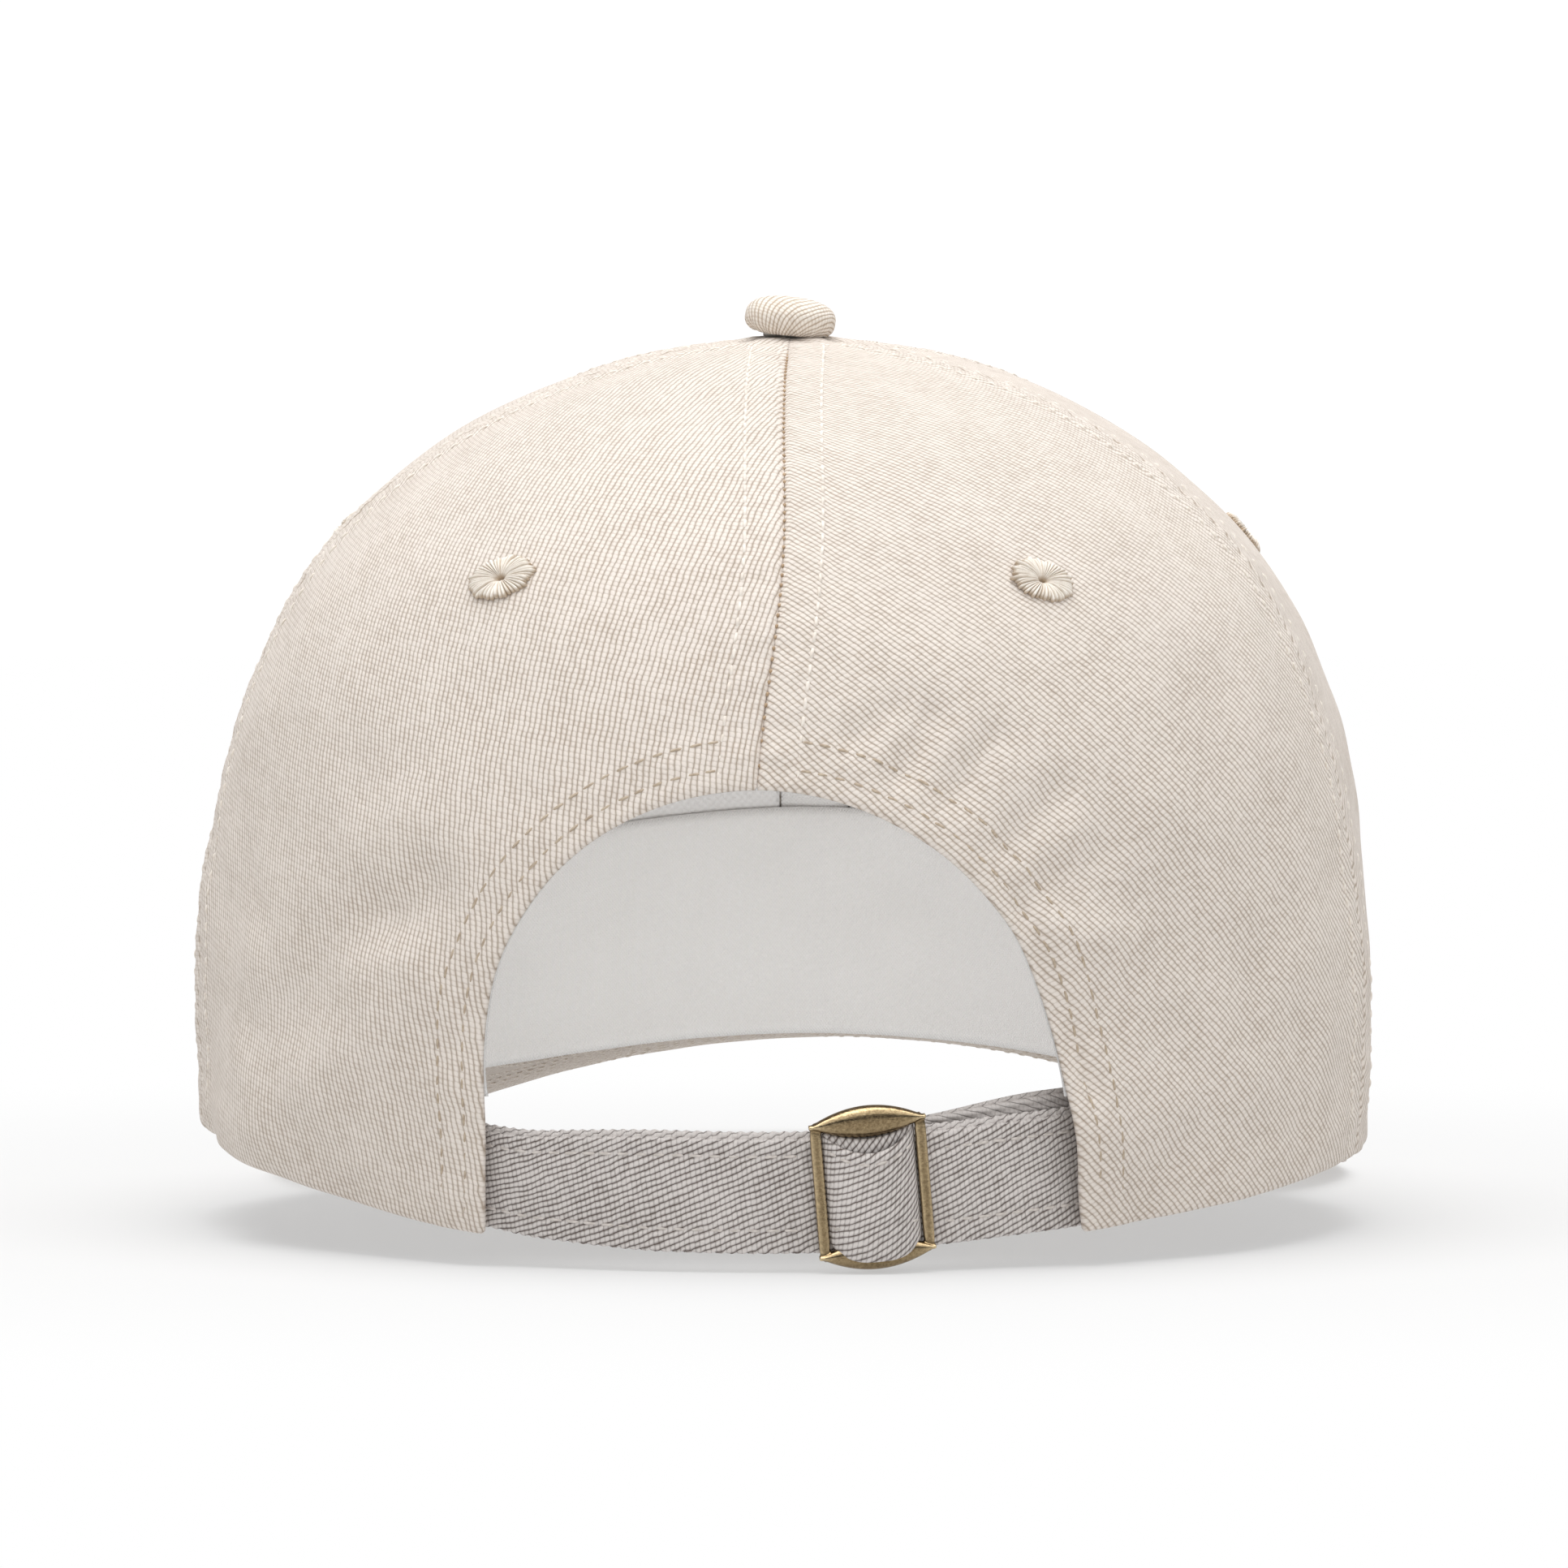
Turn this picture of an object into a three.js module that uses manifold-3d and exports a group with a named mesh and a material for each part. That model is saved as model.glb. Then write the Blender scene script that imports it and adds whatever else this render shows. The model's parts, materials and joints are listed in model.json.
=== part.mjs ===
// A six-panel baseball cap with a curved visor, a rear arch opening and a slide-buckle strap.
// Millimetres, +Z up. The visor points along -Y and the rear arch faces +Y, so +X is the wearer's left.
// The cap is built in a crown frame, whose z = 0 plane holds the rim, and then set down on a table:
// it rests on the two visor tips and on the buckle, with the front of the rim slightly raised.
import * as THREE from "three";
import { mergeVertices } from "three/addons/utils/BufferGeometryUtils.js";
import Module from "manifold-3d";

const wasm = await Module();
wasm.setup();

// ---- Driving dimensions ----
const HALF_WIDTH = 86; // crown half width at the rim, outside
const REAR_DEPTH = 97; // rim centre to the rear of the rim
const FRONT_DEPTH = 100; // rim centre to the front of the rim
const CROWN_HEIGHT = 118.5;
const ROUNDNESS_TOP = 2.2; // superellipse exponent of the crown's profile near the button
const ROUNDNESS_RIM = 0.9; // what is added to it at the rim
const ROUNDNESS_FRONT = 0.45; // the stiffened front stands more upright
const TUCK = 0.9; // how far the rim pulls in
const TUCK_HEIGHT = 20;
const REST_TILT = THREE.MathUtils.degToRad(3.9);

const FABRIC = 0.7; // panel thickness
const GAP = 0.3; // clearance between neighbouring pieces
const LINING_DEPTH = 1.35; // from the crown's outer surface to the tapes and buckram inside it
const REAR_SEAM = 78; // degrees round from the rear centre to the seam behind the ear
const FRONT_SEAM = 128; // and to the seam above the temple
const APEX_HOLE = 3; // radius left open under the button

const ARCH_HALF_WIDTH = 39.5;
const ARCH_SPRING = 22; // height at which the sides turn into the round top
const ARCH_TOP = 62;
const ARCH_FOOT = 41.5; // half width at the rim
const ARCH_LEAN = 0.06; // shift to the wearer's right per millimetre down, from the strap's pull

const EYELET_RADIUS = 4.4;
const EYELET_BORE = 0.8;
const EYELET_CUT = 2; // radius of the hole in the panel
const EYELET_BARREL = 1.6; // radius of the thread that lines it
const EYELET_PROUD = 0.35; // height of the ring's underside over the panel
const EYELET_HEIGHT = 0.75; // of the ring over its underside
const EYELET_LATITUDE = 48.5; // degrees down from the apex
const EYELET_AZIMUTHS = [33.6, 103, 154];

const BINDING_WIDTH = 8; // of the tape round the arch, on the inside
const TAPE_WIDTH = 11;
const TAPE_TOP = 14; // distance from the apex at which the seam tapes start
const BUCKRAM_TOP = 18;
const TAPE = 0.4;
const BUCKRAM = 0.6;
const BAND_HEIGHT = 30;
const BAND = 0.8;
const BAND_DEPTH = 2.2; // from the crown's outer surface to the sweatband
const POCKET_DEPTH = 5.2; // how much deeper it lies where the straps are tucked in
const POCKET_FADE = 68; // degrees from the rear centre at which the pocket starts to close
const POCKET_END = 84;
const BAND_START = 34; // degrees from the rear centre to the band's ends

const VISOR_RISE = 10; // height of the front of the rim above its sides
const VISOR_BEND = 0.0033; // fall across the visor, per square millimetre
const VISOR_SLOPE = 0.17; // fall forward
const VISOR_CORNER = 76; // half width where the visor meets the rim
const VISOR_TIP = 171; // how far forward the visor reaches from the rim's centre
const COVER = 0.6;
const BOARD = 1.8;

const STRAP_RADIUS = 78; // outer face of the strap
const STRAP_CENTRE_Y = 15.8;
const STRAP_WIDTH = 16.5;
const STRAP_MIDDLE_Z = 7.6;
const STRAP_LEAN = THREE.MathUtils.degToRad(1.2); // the right end sits higher
const SHORT_STRAP_LIFT = 0.9; // the short strap stands a little above the long one
const LONG_STRAP = 1.0;
const SHORT_STRAP = 1.6;
const LONG_STRAP_SPAN = [-58, 42]; // degrees round from the rear centre, + towards the wearer's left
const SHORT_STRAP_END = -60.5;
const BUCKLE_AZIMUTH = -12;
const BUCKLE_DROP = 0.3; // the buckle hangs a little below the strap's middle
const BUCKLE_LEAN = THREE.MathUtils.degToRad(3.5);
const BUCKLE_HALF_WIDTH = 8;
const BUCKLE_HALF_HEIGHT = 11.4;
const BUCKLE_PLATE = 3.8; // height of each domed end plate
const BUCKLE_BAR = 1.5;
const CENTRE_BAR_RADIUS = 0.6;

const BUTTON_RADIUS = 6.8;
const BUTTON_HEIGHT = 6;
const PIN_RADIUS = 1.2;
const PIN_LENGTH = 6; // below the apex

// ---- Colours and finishes ----
function finish(color, roughness, metalness = 0) {
  return new THREE.MeshStandardMaterial({ color, roughness, metalness });
}

const twill = () => finish(0xdccfc2, 0.95);
const twillShade = () => finish(0xc9beb4, 0.95);
const thread = () => finish(0xe2d2bb, 0.7);
const lining = () => finish(0xeeeae4, 0.9);
const board = () => finish(0xe6e4df, 0.6);
const brass = () => finish(0x7d6a3f, 0.35, 1);
const steel = () => finish(0xa8a8a6, 0.4, 1);

const degrees = THREE.MathUtils.degToRad;
const lerp = THREE.MathUtils.lerp;

// ---- Solids ----

function solidOf(geometry) {
  const bare = geometry.index ? geometry.toNonIndexed() : geometry.clone();
  for (const name of Object.keys(bare.attributes)) if (name !== "position") bare.deleteAttribute(name);
  const merged = mergeVertices(bare, 1e-4);
  const triVerts = new Uint32Array(merged.index.array);
  const vertProperties = merged.attributes.position.array;
  return new wasm.Manifold(new wasm.Mesh({ numProp: 3, vertProperties, triVerts }));
}

function geometryOf(solid) {
  const mesh = solid.getMesh();
  const geometry = new THREE.BufferGeometry();
  geometry.setAttribute("position", new THREE.BufferAttribute(mesh.vertProperties, 3));
  geometry.setIndex(new THREE.BufferAttribute(mesh.triVerts, 1));
  return geometry;
}

// A closed plate between two grids of points: outer(u, v) and inner(u, v), u and v from 0 to 1.
// Seen from the outer side, u runs to the left when v runs down.
function plate(outer, inner, uSteps, vSteps) {
  const positions = [];
  const index = [];
  const at = (side, i, j) => (side * (uSteps + 1) + i) * (vSteps + 1) + j;
  for (const face of [outer, inner])
    for (let i = 0; i <= uSteps; i++)
      for (let j = 0; j <= vSteps; j++) positions.push(...face(i / uSteps, j / vSteps).toArray());
  const quad = (a, b, c, d) => index.push(a, c, b, a, d, c);
  for (let i = 0; i < uSteps; i++)
    for (let j = 0; j < vSteps; j++) {
      quad(at(0, i, j), at(0, i, j + 1), at(0, i + 1, j + 1), at(0, i + 1, j));
      quad(at(1, i, j), at(1, i + 1, j), at(1, i + 1, j + 1), at(1, i, j + 1));
    }
  for (let i = 0; i < uSteps; i++) {
    quad(at(0, i, 0), at(0, i + 1, 0), at(1, i + 1, 0), at(1, i, 0));
    quad(at(0, i + 1, vSteps), at(0, i, vSteps), at(1, i, vSteps), at(1, i + 1, vSteps));
  }
  for (let j = 0; j < vSteps; j++) {
    quad(at(0, 0, j + 1), at(0, 0, j), at(1, 0, j), at(1, 0, j + 1));
    quad(at(0, uSteps, j), at(0, uSteps, j + 1), at(1, uSteps, j + 1), at(1, uSteps, j));
  }
  const geometry = new THREE.BufferGeometry();
  geometry.setAttribute("position", new THREE.Float32BufferAttribute(positions, 3));
  geometry.setIndex(index);
  return geometry;
}

// ---- The crown's surface ----
// azimuth: degrees round from the rear centre, + towards the wearer's left.
// latitude: degrees down from the apex in the constants, radians in the functions.

function roundness(azimuth, latitude) {
  const front = Math.max(0, -Math.cos(degrees(azimuth)));
  return ROUNDNESS_TOP + ROUNDNESS_RIM * Math.sin(latitude) ** 2 + ROUNDNESS_FRONT * front;
}

function crownHeight(azimuth, latitude) {
  return CROWN_HEIGHT * Math.max(0, Math.cos(latitude)) ** (2 / roundness(azimuth, latitude));
}

function crownSurface(azimuth, latitude) {
  const height = crownHeight(azimuth, latitude);
  const tuck = (TUCK / HALF_WIDTH) * Math.max(0, 1 - height / TUCK_HEIGHT) ** 2;
  const reach = Math.sin(latitude) ** (2 / roundness(azimuth, latitude)) - tuck;
  const depth = Math.cos(degrees(azimuth)) > 0 ? REAR_DEPTH : FRONT_DEPTH;
  const x = HALF_WIDTH * reach * Math.sin(degrees(azimuth));
  return new THREE.Vector3(x, depth * reach * Math.cos(degrees(azimuth)), height);
}

// The latitude at which the crown's profile passes a height.
function latitudeAt(azimuth, height) {
  let low = 0;
  let high = Math.PI / 2;
  for (let step = 0; step < 40; step++) {
    const middle = (low + high) / 2;
    if (crownHeight(azimuth, middle) > height) low = middle;
    else high = middle;
  }
  return (low + high) / 2;
}

// A point at a depth below the crown's outer surface, along its normal.
function crownPoint(azimuth, latitude, depth = 0) {
  const point = crownSurface(azimuth, latitude);
  if (depth === 0) return point;
  return point.addScaledVector(crownNormal(azimuth, latitude), -depth);
}

function crownNormal(azimuth, latitude) {
  const step = 0.002;
  const top = Math.min(latitude + step, Math.PI / 2 - 1e-6);
  const down = crownSurface(azimuth, top).sub(crownSurface(azimuth, top - 2 * step));
  const round = crownSurface(azimuth + 0.1, latitude).sub(crownSurface(azimuth - 0.1, latitude));
  return round.cross(down).normalize();
}

// The rim: level at the sides and rear, arched over the visor at the front.
function visorHeight(x, y) {
  return VISOR_RISE - VISOR_BEND * x * x + VISOR_SLOPE * (y + FRONT_DEPTH);
}

function rimHeight(azimuth) {
  const edge = crownSurface(azimuth, Math.PI / 2);
  const overVisor = edge.y < 0 && Math.abs(edge.x) < VISOR_CORNER;
  return overVisor ? Math.max(0, visorHeight(edge.x, edge.y)) : 0;
}

// Half a gap at a seam, as an angle round the crown.
function seamAngle(azimuth, latitude, width) {
  const speed = crownSurface(azimuth + 0.5, latitude).distanceTo(crownSurface(azimuth - 0.5, latitude));
  return width / speed;
}

// Rows of a sheet are closer together towards the rim, where the profile's height changes fastest.
const towardsRim = (v) => 1 - (1 - v) ** 1.4;

// A sheet on the crown between two azimuths. Its top and bottom latitudes are functions of azimuth.
function crownSheet({
  from, to, top, bottom, depth, thickness, trim = GAP / 2, uSteps, vSteps, levelEdge,
}) {
  const face = (extra) => (u, v) => {
    const across = lerp(from, to, u);
    const latitude = lerp(top(across), bottom(across), towardsRim(v));
    const start = from + seamAngle(from, latitude, trim);
    const azimuth = lerp(start, to - seamAngle(to, latitude, trim), u);
    const point = crownPoint(azimuth, Math.min(latitude, Math.PI / 2), depth + extra);
    if (v === 1 && levelEdge) point.z = rimHeight(across);
    return point;
  };
  return plate(face(0), face(thickness), uSteps, vSteps);
}

const apexLatitude = () => latitudeForReach(APEX_HOLE / HALF_WIDTH);
const rimLatitude = (azimuth) => latitudeAt(azimuth, rimHeight(azimuth));

function latitudeForReach(reach) {
  return Math.asin(reach ** (ROUNDNESS_TOP / 2));
}

// A solid of revolution about +Z from [radius, height] pairs.
function turned(profile, segments = 16) {
  const points = profile.map(([radius, height]) => new THREE.Vector2(radius, height));
  return new THREE.LatheGeometry(points, segments).rotateX(Math.PI / 2);
}

// ---- Crown pieces ----

const archShift = (z) => -ARCH_LEAN * (ARCH_TOP - z);

// The opening above the strap, as a leaning prism along Y.
function archCutter() {
  const below = -10;
  const outline = new THREE.Shape();
  outline.moveTo(-ARCH_FOOT, below);
  outline.lineTo(ARCH_FOOT, below);
  outline.lineTo(ARCH_HALF_WIDTH, ARCH_SPRING);
  outline.absellipse(0, ARCH_SPRING, ARCH_HALF_WIDTH, ARCH_TOP - ARCH_SPRING, 0, Math.PI, false, 0);
  outline.closePath();
  const settings = { depth: REAR_DEPTH, bevelEnabled: false, curveSegments: 24 };
  const prism = new THREE.ExtrudeGeometry(outline, settings);
  const beyond = 20; // how far the prism sticks out behind the crown
  prism.rotateX(Math.PI / 2).translate(0, REAR_DEPTH + beyond, 0);
  const spots = prism.attributes.position;
  for (let i = 0; i < spots.count; i++) spots.setX(i, spots.getX(i) + archShift(spots.getZ(i)));
  return solidOf(prism);
}

function eyeletFrame(azimuth) {
  const latitude = degrees(EYELET_LATITUDE);
  const turn = new THREE.Quaternion();
  turn.setFromUnitVectors(new THREE.Vector3(0, 0, 1), crownNormal(azimuth, latitude));
  return new THREE.Matrix4().compose(crownPoint(azimuth, latitude), turn, new THREE.Vector3(1, 1, 1));
}

function eyeletHole(azimuth) {
  const drill = new THREE.CylinderGeometry(EYELET_CUT, EYELET_CUT, 8, 10).rotateX(Math.PI / 2);
  return solidOf(drill.applyMatrix4(eyeletFrame(azimuth)));
}

function panelGeometry(from, to, uSteps, vSteps, cutArch) {
  const sheet = crownSheet({
    from, to, top: apexLatitude, bottom: rimLatitude, depth: 0, thickness: FABRIC, uSteps, vSteps,
    levelEdge: true,
  });
  const eyelet = EYELET_AZIMUTHS.flatMap((a) => [a, -a]).find((a) => a > from && a < to);
  let solid = solidOf(sheet).subtract(eyeletHole(eyelet));
  if (cutArch) solid = solid.subtract(archCutter());
  return geometryOf(solid);
}

// A ring of thread round the eyelet's hole, with a barrel through the panel.
function eyeletGeometry() {
  const top = EYELET_PROUD + EYELET_HEIGHT;
  const crest = EYELET_RADIUS / 2;
  return turned([
    [EYELET_BORE, -FABRIC],
    [EYELET_BARREL, -FABRIC],
    [EYELET_BARREL, EYELET_PROUD],
    [EYELET_RADIUS, EYELET_PROUD - 0.05],
    [EYELET_RADIUS - 0.6, top - EYELET_HEIGHT / 3],
    [crest, top],
    [EYELET_BORE, top - 0.45],
    [EYELET_BORE, -FABRIC],
  ], 12);
}

function tapeGeometry(azimuth, bottomHeight) {
  const half = TAPE_WIDTH / 2;
  const bottom = latitudeAt(azimuth, bottomHeight);
  const top = latitudeForReach(TAPE_TOP / HALF_WIDTH);
  const face = (depth) => (u, v) => {
    const latitude = lerp(top, bottom, towardsRim(v));
    const across = azimuth + seamAngle(azimuth, latitude, lerp(-half, half, u));
    return crownPoint(across, latitude, depth);
  };
  return plate(face(LINING_DEPTH), face(LINING_DEPTH + TAPE), 2, 14);
}

function buckramGeometry(from, to) {
  return crownSheet({
    from, to,
    top: () => latitudeForReach(BUCKRAM_TOP / HALF_WIDTH),
    bottom: (azimuth) => latitudeAt(azimuth, rimHeight(azimuth) + 4),
    depth: LINING_DEPTH,
    thickness: BUCKRAM,
    trim: TAPE_WIDTH / 2 + GAP,
    uSteps: 6, vSteps: 12,
  });
}

// How much deeper the sweatband lies where the straps are tucked in behind the panel's corner.
function pocketDepth(azimuth) {
  const away = Math.min(Math.abs(azimuth), 360 - Math.abs(azimuth));
  return POCKET_DEPTH * (1 - THREE.MathUtils.smoothstep(away, POCKET_FADE, POCKET_END));
}

function sweatbandGeometry() {
  const face = (extra) => (u, v) => {
    const azimuth = lerp(BAND_START, 360 - BAND_START, u);
    const foot = rimHeight(azimuth) + 0.5;
    const latitude = latitudeAt(azimuth, lerp(foot + BAND_HEIGHT, foot, v));
    return crownPoint(azimuth, latitude, BAND_DEPTH + extra + pocketDepth(azimuth));
  };
  return plate(face(0), face(BAND), 48, 2);
}

// The tape that binds the arch's edge on the inside, above the strap.
function archBindingGeometry() {
  const foot = 19; // height of the binding's ends
  const edgePoint = (grow, u, depth) => {
    const rise = ARCH_TOP - ARCH_SPRING + grow;
    const start = Math.asin((foot - ARCH_SPRING) / rise);
    const angle = lerp(start, Math.PI - start, u);
    const z = ARCH_SPRING + rise * Math.sin(angle);
    const x = (ARCH_HALF_WIDTH + grow) * Math.cos(angle) + archShift(z);
    const reach = crownSurface(0, latitudeAt(0, z)).y / REAR_DEPTH;
    const azimuth = THREE.MathUtils.radToDeg(Math.asin(x / HALF_WIDTH / reach));
    return crownPoint(azimuth, latitudeAt(0, z), depth);
  };
  const face = (extra) => (u, v) =>
    edgePoint(lerp(BINDING_WIDTH, 0.4, v), 1 - u, LINING_DEPTH + extra);
  return plate(face(0), face(TAPE), 24, 1);
}

// ---- Button ----

function buttonCoverGeometry() {
  const wall = 0.8;
  const hem = 0.2; // height of the turned-in edge over the crown
  const shoulder = BUTTON_HEIGHT * 0.45;
  const radius = BUTTON_RADIUS;
  const outer = new THREE.Path();
  outer.moveTo(0, BUTTON_HEIGHT);
  outer.bezierCurveTo(radius * 0.6, BUTTON_HEIGHT, radius, BUTTON_HEIGHT * 0.8, radius, shoulder);
  outer.quadraticCurveTo(radius, 2 * hem, radius - 1.4, hem);
  const inner = [
    [radius - 2, hem],
    [radius - 2, hem + wall],
    [radius - wall, shoulder],
    [radius - 3 * wall, BUTTON_HEIGHT - 2 * wall + 0.1],
    [0, BUTTON_HEIGHT - wall],
  ];
  const outside = outer.getPoints(3).map((point) => point.toArray());
  return turned([...outside, ...inner].reverse());
}

// A pressed dome with a pin that goes down through the crown and is clinched inside it.
function buttonCoreGeometry() {
  const foot = 0.6; // underside of the dome
  return turned([
    [0, -PIN_LENGTH],
    [PIN_RADIUS, -PIN_LENGTH],
    [PIN_RADIUS, foot],
    [4.3, foot],
    [4.3, 1.3],
    [5.4, 2.5],
    [4, 4.2],
    [0, 4.8],
  ]);
}

// A shallow cone under the seams, round the pin.
function buttonWasherGeometry() {
  const bore = PIN_RADIUS + 0.4;
  const radius = 7.5;
  return turned([[bore, -4.2], [radius, -4.8], [radius, -4.1], [bore, -3.3], [bore, -4.2]]);
}

// ---- Visor ----

// The front edge, from the middle to the right corner, as one cubic curve; across runs from -1 to 1.
function visorEdge(across, inset) {
  const cornerY = -FRONT_DEPTH * Math.sqrt(1 - (VISOR_CORNER / HALF_WIDTH) ** 2);
  const curve = new THREE.CubicBezierCurve(
    new THREE.Vector2(0, -VISOR_TIP + inset),
    new THREE.Vector2(60, -VISOR_TIP + inset),
    new THREE.Vector2(104 - inset, -110),
    new THREE.Vector2(VISOR_CORNER - inset, cornerY - 1.2 * inset),
  );
  const point = curve.getPoint(Math.abs(across));
  return new THREE.Vector2(Math.sign(across) * point.x, point.y);
}

function visorLayer(topDepth, thickness, inset) {
  const innerInset = 1.3;
  const cornerAngle = Math.asin(VISOR_CORNER / HALF_WIDTH);
  const face = (depth) => (u, v) => {
    const across = lerp(1, -1, u);
    const outer = visorEdge(across, inset);
    const scale = 1 - innerInset / HALF_WIDTH;
    const angle = cornerAngle * across * (1 - inset / VISOR_CORNER);
    const inner = new THREE.Vector2(
      HALF_WIDTH * scale * Math.sin(angle),
      -FRONT_DEPTH * scale * Math.cos(angle) - inset * 0.5,
    );
    const spot = inner.lerp(outer, v);
    return new THREE.Vector3(spot.x, spot.y, visorHeight(spot.x, spot.y) - depth);
  };
  return plate(face(topDepth), face(topDepth + thickness), 20, 4);
}

// ---- Straps and buckle, in the strap's own leaning frame: z = 0 at the strap's middle ----

function ringSector(outer, inner, fromDegrees, toDegrees) {
  const quarter = Math.PI / 2;
  const start = quarter - degrees(toDegrees);
  const end = quarter - degrees(fromDegrees);
  const outline = new THREE.Shape();
  outline.absarc(0, 0, outer, start, end, false);
  outline.absarc(0, 0, inner, end, start, true);
  outline.closePath();
  return outline;
}

function strapOf(outline, curveSegments) {
  const settings = { depth: STRAP_WIDTH, bevelEnabled: false, curveSegments };
  return new THREE.ExtrudeGeometry(outline, settings).translate(0, 0, -STRAP_WIDTH / 2);
}

function longStrapGeometry() {
  const [from, to] = LONG_STRAP_SPAN;
  return strapOf(ringSector(STRAP_RADIUS, STRAP_RADIUS - LONG_STRAP, from, to), 26);
}

// How far the centre bar's axis is from the strap's centre.
const centreBarRadius = STRAP_RADIUS - LONG_STRAP - 2.3;

// The short strap: a loop round the centre bar, and a doubled band from it to the tucked-in end.
function shortStrapGeometry() {
  const eye = 1.5; // radius of the loop
  const half = SHORT_STRAP / 2;
  const bandEnd = BUCKLE_AZIMUTH - 1;
  const outline = ringSector(centreBarRadius + half, centreBarRadius - half, SHORT_STRAP_END, bandEnd);
  const band = strapOf(outline, 16);
  const turn = -degrees(BUCKLE_AZIMUTH);
  const round = (radius, height) => {
    const rod = new THREE.CylinderGeometry(radius, radius, height, 14);
    rod.rotateX(Math.PI / 2).rotateY(BUCKLE_LEAN).translate(0, centreBarRadius, 0);
    return solidOf(rod.rotateZ(turn));
  };
  const loop = solidOf(band).add(round(eye, STRAP_WIDTH - 0.4));
  return geometryOf(loop.subtract(round(CENTRE_BAR_RADIUS + GAP, STRAP_WIDTH + 2)));
}

// The buckle's frame has x along the strap, z along its width and y outwards from its face.
function endPlateOutline(side) {
  const outer = BUCKLE_HALF_HEIGHT;
  const inner = BUCKLE_HALF_HEIGHT - BUCKLE_PLATE;
  const shoulder = BUCKLE_HALF_HEIGHT - 2.4; // height of the plate's pointed ends
  const outline = new THREE.Shape();
  outline.moveTo(-BUCKLE_HALF_WIDTH, side * shoulder);
  outline.quadraticCurveTo(0, side * (2 * outer - shoulder), BUCKLE_HALF_WIDTH, side * shoulder);
  outline.quadraticCurveTo(0, side * (2 * inner - shoulder), -BUCKLE_HALF_WIDTH, side * shoulder);
  return outline;
}

function endPlate(side) {
  const bevel = 0.7;
  const flat = 0.3;
  const settings = {
    depth: flat,
    bevelThickness: bevel,
    bevelSize: bevel,
    bevelOffset: -bevel,
    bevelSegments: 2,
    curveSegments: 8,
  };
  const dome = new THREE.ExtrudeGeometry(endPlateOutline(side), settings);
  return solidOf(dome.rotateX(Math.PI / 2).translate(0, bevel + GAP + flat, 0));
}

function sideBar(side) {
  const depth = 1.2;
  const box = new THREE.BoxGeometry(BUCKLE_BAR, depth, 2 * (BUCKLE_HALF_HEIGHT - 2));
  return solidOf(box.translate(side * (BUCKLE_HALF_WIDTH - BUCKLE_BAR / 2), GAP + depth / 2, 0));
}

// The centre bar lies behind the long strap, and a lug at each end joins it to an end plate.
function buckleGeometry() {
  const barY = centreBarRadius - STRAP_RADIUS;
  const lugFront = 1;
  const lugBack = barY - CENTRE_BAR_RADIUS;
  const lugHeight = BUCKLE_HALF_HEIGHT - 0.95;
  const lug = (side) => {
    const box = new THREE.BoxGeometry(4, lugFront - lugBack, 1.4);
    return solidOf(box.translate(0, (lugFront + lugBack) / 2, side * lugHeight));
  };
  const radius = CENTRE_BAR_RADIUS;
  const centre = new THREE.CylinderGeometry(radius, radius, 2 * lugHeight, 10);
  const centreBar = solidOf(centre.rotateX(Math.PI / 2).translate(0, barY, 0));
  const pieces = [1, -1].flatMap((side) => [endPlate(side), sideBar(side), lug(side)]);
  return geometryOf(pieces.reduce((whole, piece) => whole.add(piece), centreBar));
}

// The stretch of the long strap that is lifted over the centre bar and fills the buckle's window.
function strapFoldGeometry() {
  const half = BUCKLE_HALF_WIDTH - BUCKLE_BAR - GAP;
  const foot = GAP + 0.1;
  const crest = 1.9; // of the fold over the strap's face
  const outline = new THREE.Shape();
  outline.moveTo(-half, foot);
  outline.quadraticCurveTo(0, 2 * crest - foot, half, foot);
  outline.closePath();
  const height = 2 * (BUCKLE_HALF_HEIGHT - BUCKLE_PLATE) - 0.8;
  const settings = { depth: height, bevelEnabled: false, curveSegments: 10 };
  return new THREE.ExtrudeGeometry(outline, settings).translate(0, 0, -height / 2);
}

// ---- Assembly ----

const ROWS = ["rear", "side", "front"];
const crown = new THREE.Group();
const strapGroup = new THREE.Group();
const buckleGroup = new THREE.Group();

function place(name, geometry, material, parent = crown) {
  const mesh = new THREE.Mesh(geometry, material);
  mesh.name = name;
  parent.add(mesh);
  return mesh;
}

const mirrored = (from, to) => [["left", from, to], ["right", -to, -from]];

for (const [side, from, to] of mirrored(0, REAR_SEAM))
  place(`rear_panel_${side}`, panelGeometry(from, to, 13, 16, true), twill());
for (const [side, from, to] of mirrored(REAR_SEAM, FRONT_SEAM))
  place(`side_panel_${side}`, panelGeometry(from, to, 9, 16, false), twill());
for (const [side, from, to] of mirrored(FRONT_SEAM, 180))
  place(`front_panel_${side}`, panelGeometry(from, to, 10, 16, false), twill());

for (const [i, azimuth] of EYELET_AZIMUTHS.entries())
  for (const [side, angle] of [["left", azimuth], ["right", -azimuth]]) {
    const eyelet = place(`${ROWS[i]}_eyelet_${side}`, eyeletGeometry(), thread());
    eyelet.applyMatrix4(eyeletFrame(angle));
  }

place("rear_seam_tape", tapeGeometry(0, ARCH_TOP + BINDING_WIDTH + 2 * GAP), lining());
place("front_seam_tape", tapeGeometry(180, BAND_HEIGHT + VISOR_RISE + 2), lining());
for (const [side, sign] of [["left", 1], ["right", -1]]) {
  place(`rear_side_seam_tape_${side}`, tapeGeometry(sign * REAR_SEAM, 3), lining());
  place(`front_side_seam_tape_${side}`, tapeGeometry(sign * FRONT_SEAM, 3), lining());
}
for (const [side, from, to] of mirrored(FRONT_SEAM, 180))
  place(`front_buckram_${side}`, buckramGeometry(from, to), lining());
place("sweatband", sweatbandGeometry(), lining());
place("arch_binding", archBindingGeometry(), twillShade());

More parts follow.
